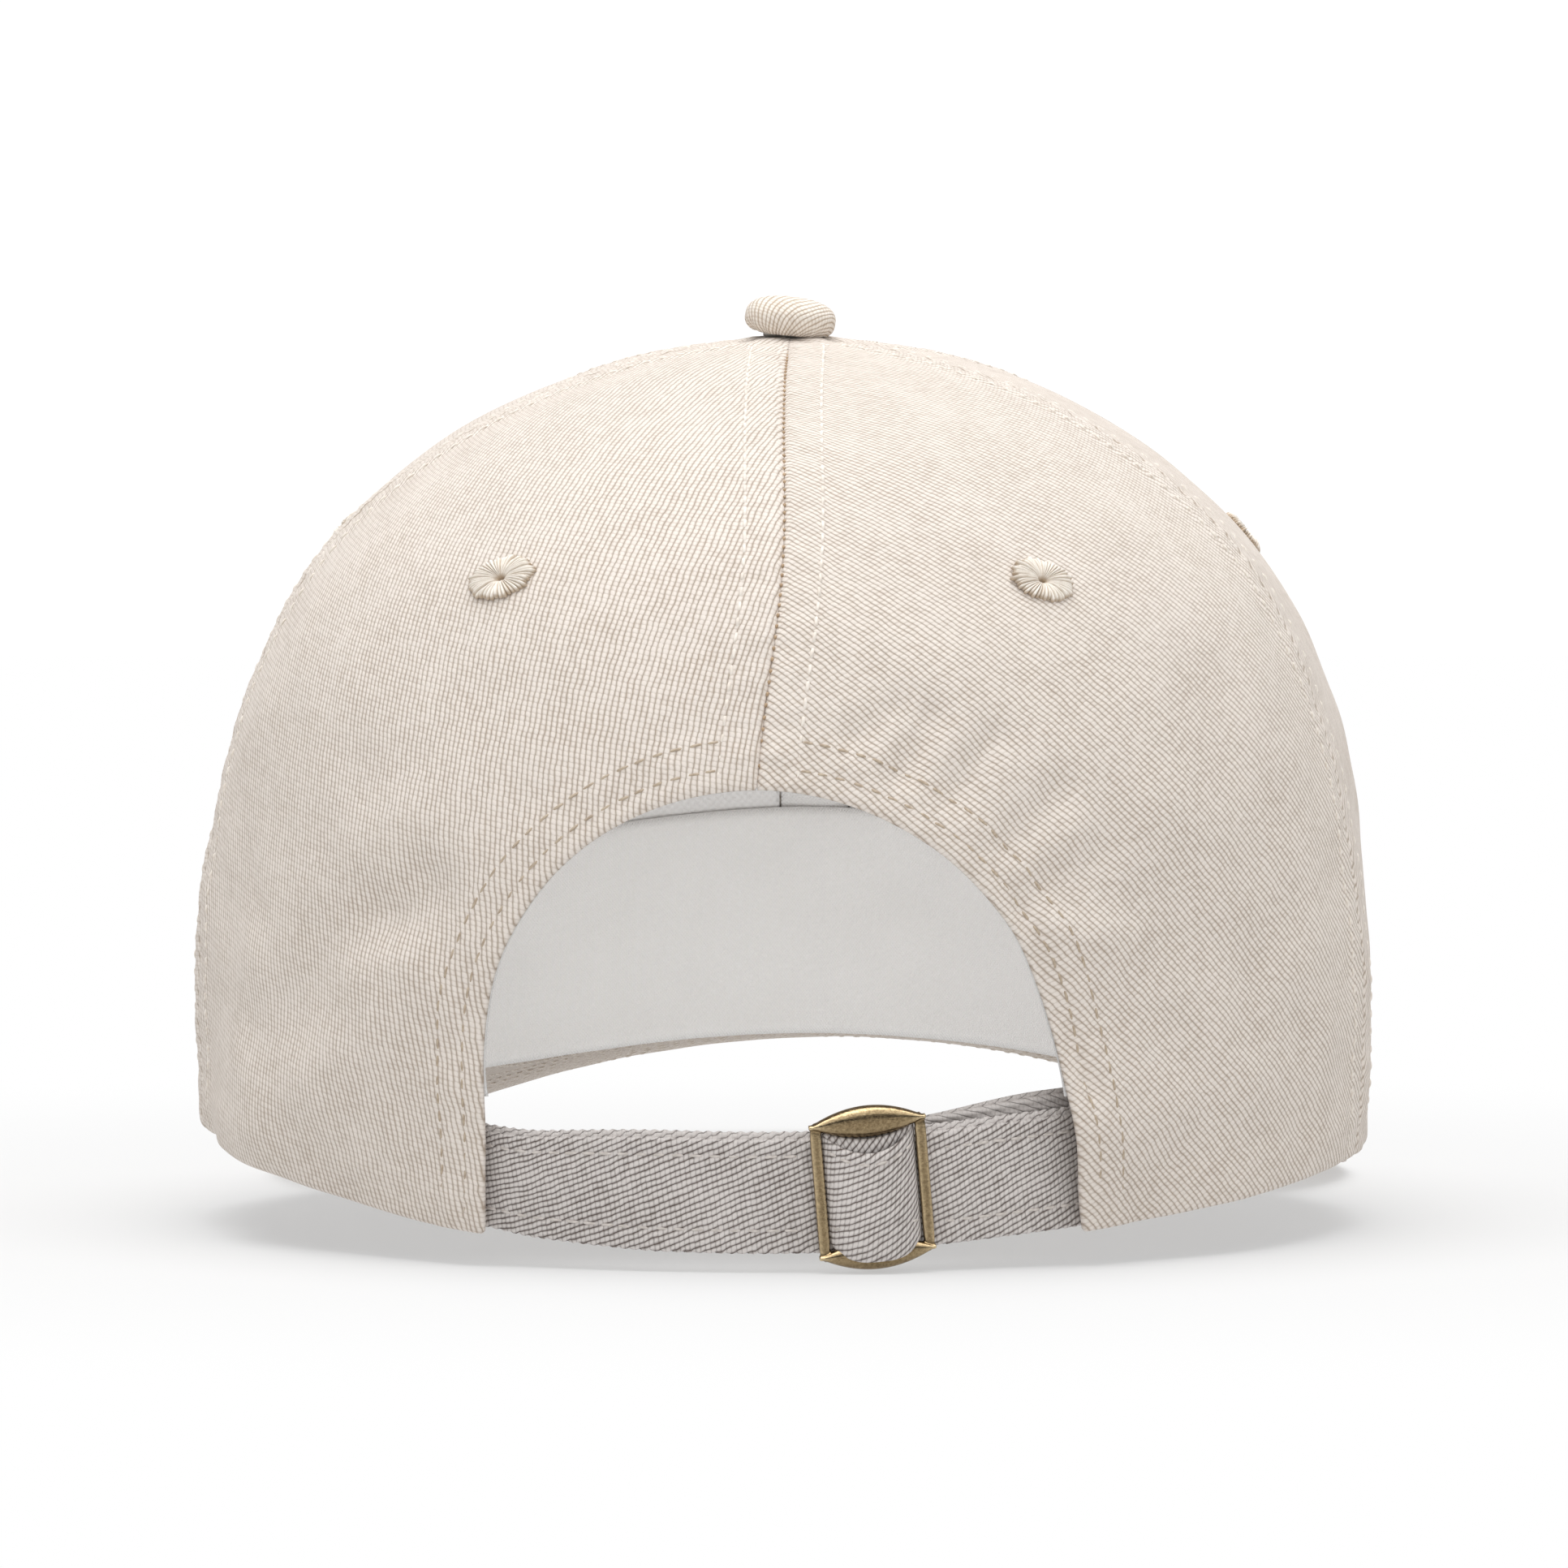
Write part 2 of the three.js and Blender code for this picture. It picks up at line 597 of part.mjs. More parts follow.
for (const [name, geometry, material] of [
  ["button_cover", buttonCoverGeometry(), twill()],
  ["button_core", buttonCoreGeometry(), steel()],
  ["button_washer", buttonWasherGeometry(), steel()],
])
  place(name, geometry, material).position.set(0, 0, CROWN_HEIGHT + GAP);

place("visor_top_cover", visorLayer(GAP, COVER, 0), twill());
place("visor_board", visorLayer(2 * GAP + COVER, BOARD, 1.2), board());
place("visor_under_cover", visorLayer(3 * GAP + COVER + BOARD, COVER, 0), twill());

place("long_strap", longStrapGeometry(), twillShade(), strapGroup);
place("short_strap", shortStrapGeometry(), twillShade(), strapGroup).position.z = SHORT_STRAP_LIFT;
place("buckle_frame", buckleGeometry(), brass(), buckleGroup);
place("strap_fold", strapFoldGeometry(), twillShade(), buckleGroup);

const buckleAngle = degrees(BUCKLE_AZIMUTH);
const buckleX = STRAP_RADIUS * Math.sin(buckleAngle);
const buckleY = STRAP_RADIUS * Math.cos(buckleAngle);
buckleGroup.position.set(buckleX, buckleY, -BUCKLE_DROP);
buckleGroup.rotation.set(0, BUCKLE_LEAN, -buckleAngle, "ZYX");
strapGroup.add(buckleGroup);
strapGroup.position.set(0, STRAP_CENTRE_Y, STRAP_MIDDLE_Z);
strapGroup.rotation.y = STRAP_LEAN;
crown.add(strapGroup);

// Set down on the table: the front rises by the rest tilt, and the footprint is centred on the origin.
crown.rotation.x = -REST_TILT;
const cap = new THREE.Group();
cap.add(crown);
cap.updateMatrixWorld(true);
const bounds = new THREE.Box3().setFromObject(cap, true);
const centre = bounds.getCenter(new THREE.Vector3());
crown.position.set(-centre.x, -centre.y, -bounds.min.z);

export default cap;
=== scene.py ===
"""The looks of a six-panel baseball cap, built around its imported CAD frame.

Shapes are worked out in millimetres in the crown's own frame, whose z = 0 plane holds the rim,
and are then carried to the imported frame. Azimuth is the angle round from the rear centre, +
towards the wearer's left (+X). Latitude is the angle down from the apex. Both are in radians.
"""

import json
import math

import bpy
import numpy as np
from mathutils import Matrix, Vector
from mathutils.geometry import delaunay_2d_cdt

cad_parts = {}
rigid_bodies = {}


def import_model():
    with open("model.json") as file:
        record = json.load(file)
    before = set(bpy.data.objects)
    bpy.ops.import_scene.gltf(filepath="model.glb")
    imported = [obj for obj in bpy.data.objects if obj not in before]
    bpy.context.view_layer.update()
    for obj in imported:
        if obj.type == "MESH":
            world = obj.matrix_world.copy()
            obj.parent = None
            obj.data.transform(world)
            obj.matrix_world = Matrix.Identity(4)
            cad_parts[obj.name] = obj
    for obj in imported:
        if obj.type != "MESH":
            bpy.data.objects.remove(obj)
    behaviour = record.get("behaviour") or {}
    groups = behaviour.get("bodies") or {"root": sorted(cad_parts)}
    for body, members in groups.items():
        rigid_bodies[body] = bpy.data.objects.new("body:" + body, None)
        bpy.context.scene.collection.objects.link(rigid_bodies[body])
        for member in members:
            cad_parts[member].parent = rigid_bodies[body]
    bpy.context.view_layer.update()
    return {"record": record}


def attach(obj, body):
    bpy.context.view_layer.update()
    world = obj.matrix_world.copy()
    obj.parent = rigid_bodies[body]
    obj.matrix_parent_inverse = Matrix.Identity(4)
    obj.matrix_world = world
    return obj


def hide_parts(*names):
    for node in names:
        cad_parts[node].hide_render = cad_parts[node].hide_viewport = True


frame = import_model()

MM = 0.001
RIGHT_ANGLE = math.pi / 2
rad = math.radians

# ---- Dimensions of the CAD frame, in millimetres ----
HALF_WIDTH = 86.0
REAR_DEPTH = 97.0
FRONT_DEPTH = 100.0
CROWN_HEIGHT = 118.5
ROUNDNESS_TOP = 2.2
ROUNDNESS_RIM = 0.9
ROUNDNESS_FRONT = 0.45
TUCK = 0.9
TUCK_HEIGHT = 20.0
FABRIC = 0.7
LINING_DEPTH = 1.35
REAR_SEAM = rad(78)
FRONT_SEAM = rad(128)
APEX_HOLE = 3.0
ARCH_HALF_WIDTH = 39.5
ARCH_SPRING = 22.0
ARCH_TOP = 62.0
ARCH_FOOT = 41.5
ARCH_CUT_FOOT = -10.0
ARCH_LEAN = 0.06
EYELET_LATITUDE = rad(47.3)  # 1.2 degrees above the CAD's, where wear has drawn the cloth up
EYELET_AZIMUTHS = (33.6, 103, 154)
EYELET_CUT = 1.9
TAPE_WIDTH = 11.0
TAPE_TOP = 14.0
TAPE = 0.4
BUCKRAM = 0.6
BUCKRAM_TOP = 18.0
BAND_HEIGHT = 30.0
BAND = 0.8
BAND_DEPTH = 2.2
POCKET_DEPTH = 5.2
BAND_START = 34
BAND_LENGTH = 460
VISOR_RISE = 10.0
VISOR_BEND = 0.0033
VISOR_SLOPE = 0.17
VISOR_CORNER = 76.0
VISOR_TIP = 171.0
STRAP_RADIUS = 78.0
STRAP_CENTRE = np.array([0.0, 15.8, 7.6])
STRAP_WIDTH = 16.5
LONG_STRAP = 1.0
LONG_SPAN = (-58, 42)
SHORT_END = -60.5
SHORT_LIFT = 0.9
BUCKLE_AZIMUTH = rad(-12)
BUCKLE_DROP = 0.3
BUCKLE_LEAN = rad(3.5)
BUCKLE_HALF_WIDTH = 8.0
BUCKLE_HALF_HEIGHT = 11.4
BAR_BEHIND = 3.3  # from the strap's outer face to the centre bar's axis
BUTTON_RADIUS = 6.8
BUTTON_SEAT = np.array([0, 0, CROWN_HEIGHT + 0.3])

# ---- The set that wear has given the cap ----
APEX_LEAN = 1.2  # how far the top leans to the wearer's right
SEAM_DRIFT = 2.3  # degrees by which the rear seam wanders to the same side
RIM_BOW = (5.0, 1.8)  # how far the rim bows up over the left and the right ear
SHOULDER_SLACK = 0.85  # how far the cloth falls in below the shoulder
FRONT_DROOP = 7.5  # how far the sweatband hangs below the crown's rim at the front, at most
SAG = 1.2  # how far the strap hangs between the arch's feet, and rises beyond them

# ---- Sewing ----
STITCH = 2.5  # pitch of the topstitching
TOPSTITCH = 5.4  # from a seam to the row on either side of it
ARCH_ROWS = (3.0, 7.0)  # from the arch's edge to its two rows
STRAP_ROWS = (5.65, -5.05)  # heights of the strap's rows over its middle
VISOR_ROWS = (5, 11, 17, 23, 29, 35)
VISOR_STITCH = 2.6
STRAP_RIBS = rad(-66)  # the lie of the twill on the straps

# ---- From the crown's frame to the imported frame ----
joint = frame["record"]["behaviour"]["joints"][0]
rim_up = -np.array(frame["record"]["mounts"][0]["axis"])
rim_up /= np.linalg.norm(rim_up)
TILT = np.array([[1, 0, 0], [0, rim_up[2], rim_up[1]], [0, -rim_up[1], rim_up[2]]])
ORIGIN = np.array(joint["pos_m"]) - TILT @ STRAP_CENTRE * MM
STRAP_LEAN = math.asin(joint["axis"][0])


def to_row(points):
    """From crown millimetres to packed-frame metres, with the set that wear has given the crown."""
    x, y, z = points[..., 0], points[..., 1], points[..., 2]
    away = np.abs(np.arctan2(x, y))
    turn = -rad(SEAM_DRIFT) * bump(z - 96, 24) * (1 - smooth(0, rad(55), away))
    lean = -APEX_LEAN * (np.maximum(z, 0) / CROWN_HEIGHT) ** 2
    across = x * np.cos(turn) + y * np.sin(turn) + lean
    back = y * np.cos(turn) - x * np.sin(turn)
    return np.stack([across, back, z], -1) @ TILT.T * MM + ORIGIN


def unit(vectors):
    return vectors / np.maximum(np.linalg.norm(vectors, axis=-1, keepdims=True), 1e-9)


def smooth(low, high, value):
    t = np.clip((value - low) / (high - low), 0, 1)
    return t * t * (3 - 2 * t)


def bump(distance, width):
    return np.exp(-((distance / width) ** 2))


def round_turn(count):
    """Evenly spaced angles once round."""
    return np.linspace(0, 2 * math.pi, count, endpoint=False)


def unit_grid(nu, nv, low=0):
    """Two grids of numbers, the first from low to 1 down its rows and the second along them."""
    return np.meshgrid(np.linspace(low, 1, nu), np.linspace(low, 1, nv), indexing="ij")


# ---- The crown's surface ----


def roundness(az, lat):
    front = np.maximum(0, -np.cos(az))
    return ROUNDNESS_TOP + ROUNDNESS_RIM * np.sin(lat) ** 2 + ROUNDNESS_FRONT * front


def crown_height(az, lat):
    return CROWN_HEIGHT * np.maximum(0, np.cos(lat)) ** (2 / roundness(az, lat))


def crown_surface(az, lat):
    az, lat = np.broadcast_arrays(np.asarray(az, float), np.asarray(lat, float))
    height = crown_height(az, lat)
    tuck = TUCK / HALF_WIDTH * np.maximum(0, 1 - height / TUCK_HEIGHT) ** 2
    reach = np.sin(lat) ** (2 / roundness(az, lat)) - tuck
    depth = np.where(np.cos(az) > 0, REAR_DEPTH, FRONT_DEPTH)
    x = HALF_WIDTH * reach * np.sin(az)
    return np.stack([x, depth * reach * np.cos(az), height], -1)


def crown_normal(az, lat):
    step = 0.002
    low = np.minimum(lat + step, RIGHT_ANGLE - 1e-6)
    down = crown_surface(az, low) - crown_surface(az, low - 2 * step)
    across = crown_surface(az + step, lat) - crown_surface(az - step, lat)
    return unit(np.cross(across, down))


def latitude_at(az, height):
    az, height = np.broadcast_arrays(np.asarray(az, float), np.asarray(height, float))
    low, high = np.zeros(az.shape), np.full(az.shape, RIGHT_ANGLE)
    for _ in range(40):
        middle = (low + high) / 2
        above = crown_height(az, middle) > height
        low, high = np.where(above, middle, low), np.where(above, high, middle)
    return (low + high) / 2


def latitude_for_reach(reach):
    return math.asin(reach ** (ROUNDNESS_TOP / 2))


def speed(az, lat):
    """Millimetres round the crown for one radian of azimuth."""
    step = 0.004
    return np.linalg.norm(crown_surface(az + step, lat) - crown_surface(az - step, lat), axis=-1) / (2 * step)


def visor_height(x, y):
    return VISOR_RISE - VISOR_BEND * x * x + VISOR_SLOPE * (y + FRONT_DEPTH)


def rim_over_visor(az):
    edge = crown_surface(az, RIGHT_ANGLE)
    over = (edge[..., 1] < 0) & (np.abs(edge[..., 0]) < VISOR_CORNER)
    return np.where(over, np.maximum(0, visor_height(edge[..., 0], edge[..., 1])), 0)


def rim_height(az):
    front = rim_over_visor(az)
    away = np.degrees(np.abs(np.arctan2(np.sin(az), np.cos(az))))
    bow = smooth(24, 68, away) * (1 - smooth(92, 114, away))
    return front + bow * np.where(np.sin(az) > 0, *RIM_BOW)


# ---- Soft shape: what handling has left in the cloth ----


def ripple(points, seed, longest, shortest, waves=16):
    """A smooth pattern between about -1 and 1: a sum of plane waves."""
    rng = np.random.default_rng(seed)
    total = np.zeros(points.shape[:-1])
    for _ in range(waves):
        direction = unit(rng.normal(size=3))
        length = rng.uniform(shortest, longest)
        total += np.sin(points @ direction * (2 * math.pi / length) + rng.uniform(0, 2 * math.pi))
    return total / math.sqrt(waves)


# Creases at the rear: start and end (x, z), width across, height (+ outwards).
CREASES = (
    ((46, 47), (50, 43), 4.5, -1.3),
    ((49, 38), (56, 34), 4.5, 0.7),
    ((54, 42), (72, 24), 5.0, -0.6),
    ((47, 32), (70, 10), 6.0, 0.7),
    ((60, 60), (75, 44), 7.0, -0.5),
    ((-13, 69), (-19, 73), 2.6, -0.5),
    ((-20, 64), (-23, 71), 2.4, -0.7),
    ((-27, 61), (-32, 68), 2.4, -0.6),
    ((-35, 54), (-41, 60), 2.8, -0.8),
    ((-38, 47), (-47, 52), 3.0, -0.7),
    ((-42, 42), (-52, 40), 3.4, 0.5),
    ((-36.5, 45), (-45, 20), 1.3, -0.5),
    ((-39, 46), (-48, 20), 1.9, 0.35),
    ((-46, 40), (-56, 16), 4.5, 0.7),
    ((-58, 46), (-70, 26), 6.0, -0.6),
    ((17, 117), (36, 112), 8.0, -0.4),
)


def crease(x, z, start, end, width, height):
    start, end = np.array(start, float), np.array(end, float)
    run = end - start
    length = np.linalg.norm(run)
    spot = np.stack([x, z], -1) - start
    along = spot @ run / length
    past = np.maximum(0, np.maximum(-along, along - length))
    across = spot @ np.array([-run[1], run[0]]) / length
    return height * bump(across, width) * bump(past, width)


def soft_shape(points):
    """How far the cloth stands out from the crown's ideal surface, for points on it."""
    x, y, z = points[..., 0], points[..., 1], points[..., 2]
    rear = smooth(10, 40, y)
    low = 1 - smooth(20, 95, z)
    total = (0.25 + 0.40 * low) * ripple(points, 3, 62, 24)
    total = total + 0.13 * ripple(points, 8, 20, 9) * (0.4 + low)
    right = smooth(30, -50, x)
    total = total - SHOULDER_SLACK * (right * bump(z - 86, 30) + (1 - right) * bump(z - 72, 20))
    for start, end, width, height in CREASES:
        total = total + 1.5 * rear * crease(x, z, start, end, width, height)
    flare = bump(np.hypot(x + 47, z - 14), 8.0) * rear
    return total + 2.6 * flare


def crown_point(az, lat, depth=0.0):
    """A point at a depth under the soft outer surface, in crown millimetres."""
    base = crown_surface(az, lat)
    lift = soft_shape(base) - depth
    return base + crown_normal(az, lat) * lift[..., None]


# ---- Distances along the cloth ----


def along_path(path):
    return np.concatenate([[0], np.cumsum(np.linalg.norm(np.diff(path, axis=0), axis=1))])


def to_path(points, path):
    """For each point, its distance to a polyline and how far along the polyline that is."""
    starts, runs = path[:-1], np.diff(path, axis=0)
    length = np.linalg.norm(runs, axis=1)
    offsets = along_path(path)[:-1]
    far, along = np.empty(len(points)), np.empty(len(points))
    for first in range(0, len(points), 2000):
        some = points[first : first + 2000, None, :] - starts
        t = np.clip((some * runs).sum(-1) / length**2, 0, 1)
        gap = np.linalg.norm(some - t[..., None] * runs, axis=-1)
        nearest = gap.argmin(1)
        rows = np.arange(len(nearest))
        far[first : first + 2000] = gap[rows, nearest]
        along[first : first + 2000] = offsets[nearest] + t[rows, nearest] * length[nearest]
    return far, along


def resample(path, spacing):
    distance = along_path(path)
    count = max(2, int(round(distance[-1] / spacing)) + 1)
    at = np.linspace(0, distance[-1], count)
    return np.stack([np.interp(at, distance, path[:, k]) for k in range(path.shape[1])], -1)


# ---- Meshes ----


def facing_out(points, faces):
    """The faces, turned over if the closed mesh is inside out."""
    volume = 0.0
    for face in faces:
        a = points[face[:, 0]]
        for k in range(1, face.shape[1] - 1):
            volume += (a * np.cross(points[face[:, k]], points[face[:, k + 1]])).sum()
    return faces if volume > 0 else [face[:, ::-1] for face in faces]


def add_piece(name, body, points, faces, material, replaces=(), uv=None):
    """An object from points in crown millimetres and a list of arrays of triangles or quads."""
    points = to_row(points)
    faces = facing_out(points, [np.asarray(f) for f in faces if len(f)])
    mesh = bpy.data.meshes.new(name)
    sizes = np.concatenate([np.full(len(f), f.shape[1]) for f in faces])
    corners = np.concatenate([f.ravel() for f in faces]).astype(np.int32)
    mesh.vertices.add(len(points))
    mesh.vertices.foreach_set("co", points.astype(np.float32).ravel())
    mesh.loops.add(len(corners))
    mesh.loops.foreach_set("vertex_index", corners)
    mesh.polygons.add(len(sizes))
    starts = np.concatenate([[0], np.cumsum(sizes)[:-1]])
    mesh.polygons.foreach_set("loop_start", starts.astype(np.int32))
    mesh.polygons.foreach_set("use_smooth", np.ones(len(sizes), bool))
    mesh.update(calc_edges=True)
    if uv is not None:
        layer = mesh.uv_layers.new(name="weave")
        layer.data.foreach_set("uv", uv[corners].astype(np.float32).ravel())
    mesh.validate()
    mesh.materials.append(material)
    made = bpy.data.objects.new(name, mesh)
    bpy.context.scene.collection.objects.link(made)
    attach(made, body)
    if replaces:
        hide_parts(*replaces)
    return made


def store(piece, name, values):
    """Keeps one number for each vertex, for the piece's material to read."""
    made = piece.data.attributes.new(name, "FLOAT", "POINT")
    made.data.foreach_set("value", np.asarray(values, np.float32).ravel())


def quads_between(index):
    """Quads that join each row of vertex numbers to the next."""
    return np.stack([index[:-1, :-1], index[1:, :-1], index[1:, 1:], index[:-1, 1:]], -1).reshape(-1, 4)


def shell(outer, inner, ring=False):
    """A closed sheet between two grids of points; a ring joins its last column to its first."""
    nu, nv = outer.shape[:2]
    under = nu * nv
    index = np.arange(under).reshape(nu, nv)
    if ring:
        index = np.vstack([index, index[:1]])
    top = quads_between(index)

    def side(line):
        return np.stack([line[1:], line[:-1], line[:-1] + under, line[1:] + under], -1)

    faces = [top, top[:, ::-1] + under, side(index[:, 0]), side(index[::-1, -1])]
    if not ring:
        faces += [side(index[0, ::-1]), side(index[-1])]
    points = np.concatenate([outer.reshape(-1, 3), inner.reshape(-1, 3)])
    return points, [np.concatenate(faces)]


def loft(sections, ring=False):
    """A tube through closed loops of points, with its ends closed unless the loops form a ring."""
    count, around = sections.shape[:2]
    index = np.arange(count * around).reshape(count, around)
    index = np.hstack([index, index[:, :1]])
    if ring:
        index = np.vstack([index, index[:1]])
    quads = quads_between(index)
    points = sections.reshape(-1, 3)
    if ring:
        return points, [quads]
    caps = []
    for row, turn in ((0, 1), (count - 1, -1)):
        middle = len(points)
        points = np.vstack([points, sections[row].mean(0)])
        loop = index[row][::turn]
        caps.append(np.stack([loop[:-1], loop[1:], np.full(around, middle)], -1))
    return points, [quads, np.concatenate(caps)]


def turned_uv(x, y, angle):
    """Weave coordinates for a piece laid flat, turned to the rib's angle."""
    c, s = math.cos(angle), math.sin(angle)
    return np.stack([x * c + y * s, -x * s + y * c], -1).reshape(-1, 2)


def joined(parts):
    """Several (points, faces) as one."""
    points, faces, start = [], [], 0
    for some, lists in parts:
        lists = facing_out(some, lists)
        points.append(some)
        faces += [face + start for face in lists]
        start += len(some)
    return np.concatenate(points), faces


# ---- Materials ----


class Nodes:
    """Writes the nodes of one tree."""

    def __init__(self, tree):
        self.tree = tree

    def put(self, socket, value):
        if isinstance(value, bpy.types.NodeSocket):
            self.tree.links.new(value, socket)
        elif isinstance(value, tuple) and len(value) == 3 and socket.type == "RGBA":
            socket.default_value = (*value, 1)
        else:
            socket.default_value = value

    def node(self, kind, output=0, settings=None, **values):
        made = self.tree.nodes.new(kind)
        for key, value in (settings or {}).items():
            setattr(made, key, value)
        for key, value in values.items():
            self.put(made.inputs[key], value)
        return made.outputs[output]

    def math(self, operation, *values):
        made = self.tree.nodes.new("ShaderNodeMath")
        made.operation = operation
        for socket, value in zip(made.inputs, values):
            self.put(socket, value)
        return made.outputs[0]

    def ramp(self, value, span, to, kind="LINEAR"):
        """The value, carried from one span to another."""
        made = self.tree.nodes.new("ShaderNodeMapRange")
        made.interpolation_type = kind
        for key, number in zip(("Value", "From Min", "From Max", "To Min", "To Max"), (value, *span, *to)):
            self.put(made.inputs[key], number)
        return made.outputs[0]


class Cloth(Nodes):
    """A material, written through its nodes."""

    def __init__(self, name):
        self.material = bpy.data.materials.new(name)
        self.material.use_nodes = True
        super().__init__(self.material.node_tree)
        self.shader = self.tree.nodes["Principled BSDF"]

    def mix(self, factor, a, b, blend="MIX"):
        made = self.tree.nodes.new("ShaderNodeMix")
        made.data_type = "RGBA"
        made.blend_type = blend
        for key, value in (("Factor", factor), (6, a), (7, b)):
            self.put(made.inputs[key], value)
        return made.outputs[2]

    def place(self, scale=1000.0):
        """Object coordinates in millimetres."""
        spot = self.node("ShaderNodeTexCoord", "Object")
        return self.node("ShaderNodeVectorMath", 0, {"operation": "SCALE"}, Vector=spot, Scale=scale)

    def noise(self, where, scale, detail=2.0, roughness=0.5):
        values = {"Vector": where, "Scale": scale, "Detail": detail, "Roughness": roughness}
        return self.node("ShaderNodeTexNoise", **values)

    def relief(self, height, depth_mm):
        normal = self.node("ShaderNodeBump", Height=height, Distance=depth_mm * MM)
        self.put(self.shader.inputs["Normal"], normal)

    def surface(self, **values):
        names = {
            "color": "Base Color",
            "roughness": "Roughness",
            "metallic": "Metallic",
            "sheen": "Sheen Weight",
            "sheen_roughness": "Sheen Roughness",
            "specular": "Specular IOR Level",
        }
        for key, value in values.items():
            self.put(self.shader.inputs[names[key]], value)
        return self.material


def weave_axes(cloth):
    """The weave coordinates: the pair, the distance across the ribs and the distance along them."""
    uv = cloth.node("ShaderNodeUVMap", 0, {"uv_map": "weave"})
    parts = cloth.node("ShaderNodeSeparateXYZ", Vector=uv).node
    return uv, parts.outputs[0], parts.outputs[1]


def twill(name, rib_color, groove_shade_color, pitch=0.88, depth=0.2, tone=0.05):
    """Twill: ribs along the second weave axis, each a row of short slanted floats.

    Where a piece stores a painted highlight value, the grooves close up and the cloth is paler: painted
    highlight along a strap's upper edge.
    """
    cloth = Cloth(name)
    uv, across, along = weave_axes(cloth)
    wander = cloth.noise(uv, 0.22, 3.0)
    across = cloth.math("MULTIPLY_ADD", wander, 0.9, across)
    ribs = cloth.math("DIVIDE", across, pitch)
    rib = cloth.math("FLOOR", ribs)
    part = cloth.math("FRACT", ribs)
    slant = cloth.math("MULTIPLY_ADD", part, 0.5, cloth.math("DIVIDE", along, pitch * 0.86))
    floats = cloth.math("MULTIPLY_ADD", rib, 0.38, slant)
    float_part = cloth.math("FRACT", floats)
    key = cloth.node("ShaderNodeCombineXYZ", 0, X=rib, Y=cloth.math("FLOOR", floats))
    yarn = cloth.node("ShaderNodeTexWhiteNoise", 0, {"noise_dimensions": "2D"}, Vector=key)
    ridge = cloth.math("SINE", cloth.math("MULTIPLY", part, math.pi))
    ridge = cloth.math("POWER", ridge, 0.55)
    hump = cloth.math("SINE", cloth.math("MULTIPLY", float_part, math.pi))
    hump = cloth.math("POWER", hump, 0.5)
    height = cloth.math("MULTIPLY", ridge, cloth.math("MULTIPLY_ADD", hump, 0.45, 0.55))
    fuzz = cloth.noise(uv, 3.2, 4.0, 0.65)
    height = cloth.math("MULTIPLY_ADD", fuzz, 0.30, height)
    height = cloth.math("MULTIPLY_ADD", yarn, 0.20, height)
    worn = cloth.noise(uv, 0.09, 4.0, 0.6)
    worn = cloth.math("MULTIPLY_ADD", worn, 0.5, -0.40)
    shade = cloth.math("ADD", cloth.math("MULTIPLY_ADD", height, 1.5, -0.55), worn)
    selvedge = cloth.node("ShaderNodeAttribute", 2, {"attribute_name": "selvedge"})
    # Painted highlight along a strap's upper edge, from the stored attribute.
    shade = cloth.math("MULTIPLY_ADD", selvedge, 0.45, shade)
    shade.node.use_clamp = True
    # The groove colour is painted shade between the ribs, on top of the relief.
    color = cloth.mix(shade, groove_shade_color, rib_color)
    slow = cloth.noise(uv, 0.035, 3.0, 0.6)
    slow = cloth.math("MULTIPLY_ADD", slow, tone * 2, 1 - tone)
    slub = cloth.noise(uv, 0.7, 3.0, 0.7)
    slub = cloth.math("MULTIPLY_ADD", slub, 0.14, 0.93)
    value = cloth.math("MULTIPLY", slow, slub)
    grey = cloth.node("ShaderNodeCombineColor", Red=value, Green=value, Blue=value)
    color = cloth.mix(1.0, color, grey, "MULTIPLY")
    cloth.relief(height, depth)
    rough = cloth.math("MULTIPLY_ADD", ridge, -0.06, 0.92)
    return cloth.surface(color=color, roughness=rough, sheen=0.12, sheen_roughness=0.5, specular=0.2)


def thread(name, light, dark):
    """Sewing thread: two plies twisted together."""
    cloth = Cloth(name)
    spot = cloth.place()
    ply = cloth.node("ShaderNodeTexWave", 0, {"wave_type": "BANDS", "bands_direction": "DIAGONAL"},
                     Vector=spot, Scale=0.55, Distortion=2.0, Detail=1.0)
    patch = cloth.noise(spot, 0.8, 3.0)
    color = cloth.mix(cloth.math("MULTIPLY", ply, 0.5), light, dark)
    color = cloth.mix(cloth.math("MULTIPLY", patch, 0.5), color, light)
    cloth.relief(ply, 0.05)
    return cloth.surface(color=color, roughness=cloth.math("MULTIPLY_ADD", patch, 0.2, 0.55), sheen=0.15)


def satin(name):
    """The eyelets' thread: pale strands with painted brown shade between them and round the rim, kept in the
    strand attribute.
    """
    cloth = Cloth(name)
    strand = cloth.node("ShaderNodeAttribute", 2, {"attribute_name": "strand"})
    patch = cloth.noise(cloth.place(), 1.1, 3.0)
    amount = cloth.math("MULTIPLY_ADD", patch, 0.6, cloth.math("SUBTRACT", strand, 0.28))
    amount.node.use_clamp = True
    # The brown is painted shade.
    color = cloth.mix(amount, (0.43, 0.32, 0.21), (0.88, 0.83, 0.76))
    cloth.relief(patch, 0.05)
    return cloth.surface(color=color, roughness=cloth.math("MULTIPLY_ADD", patch, 0.2, 0.45), sheen=0.2)


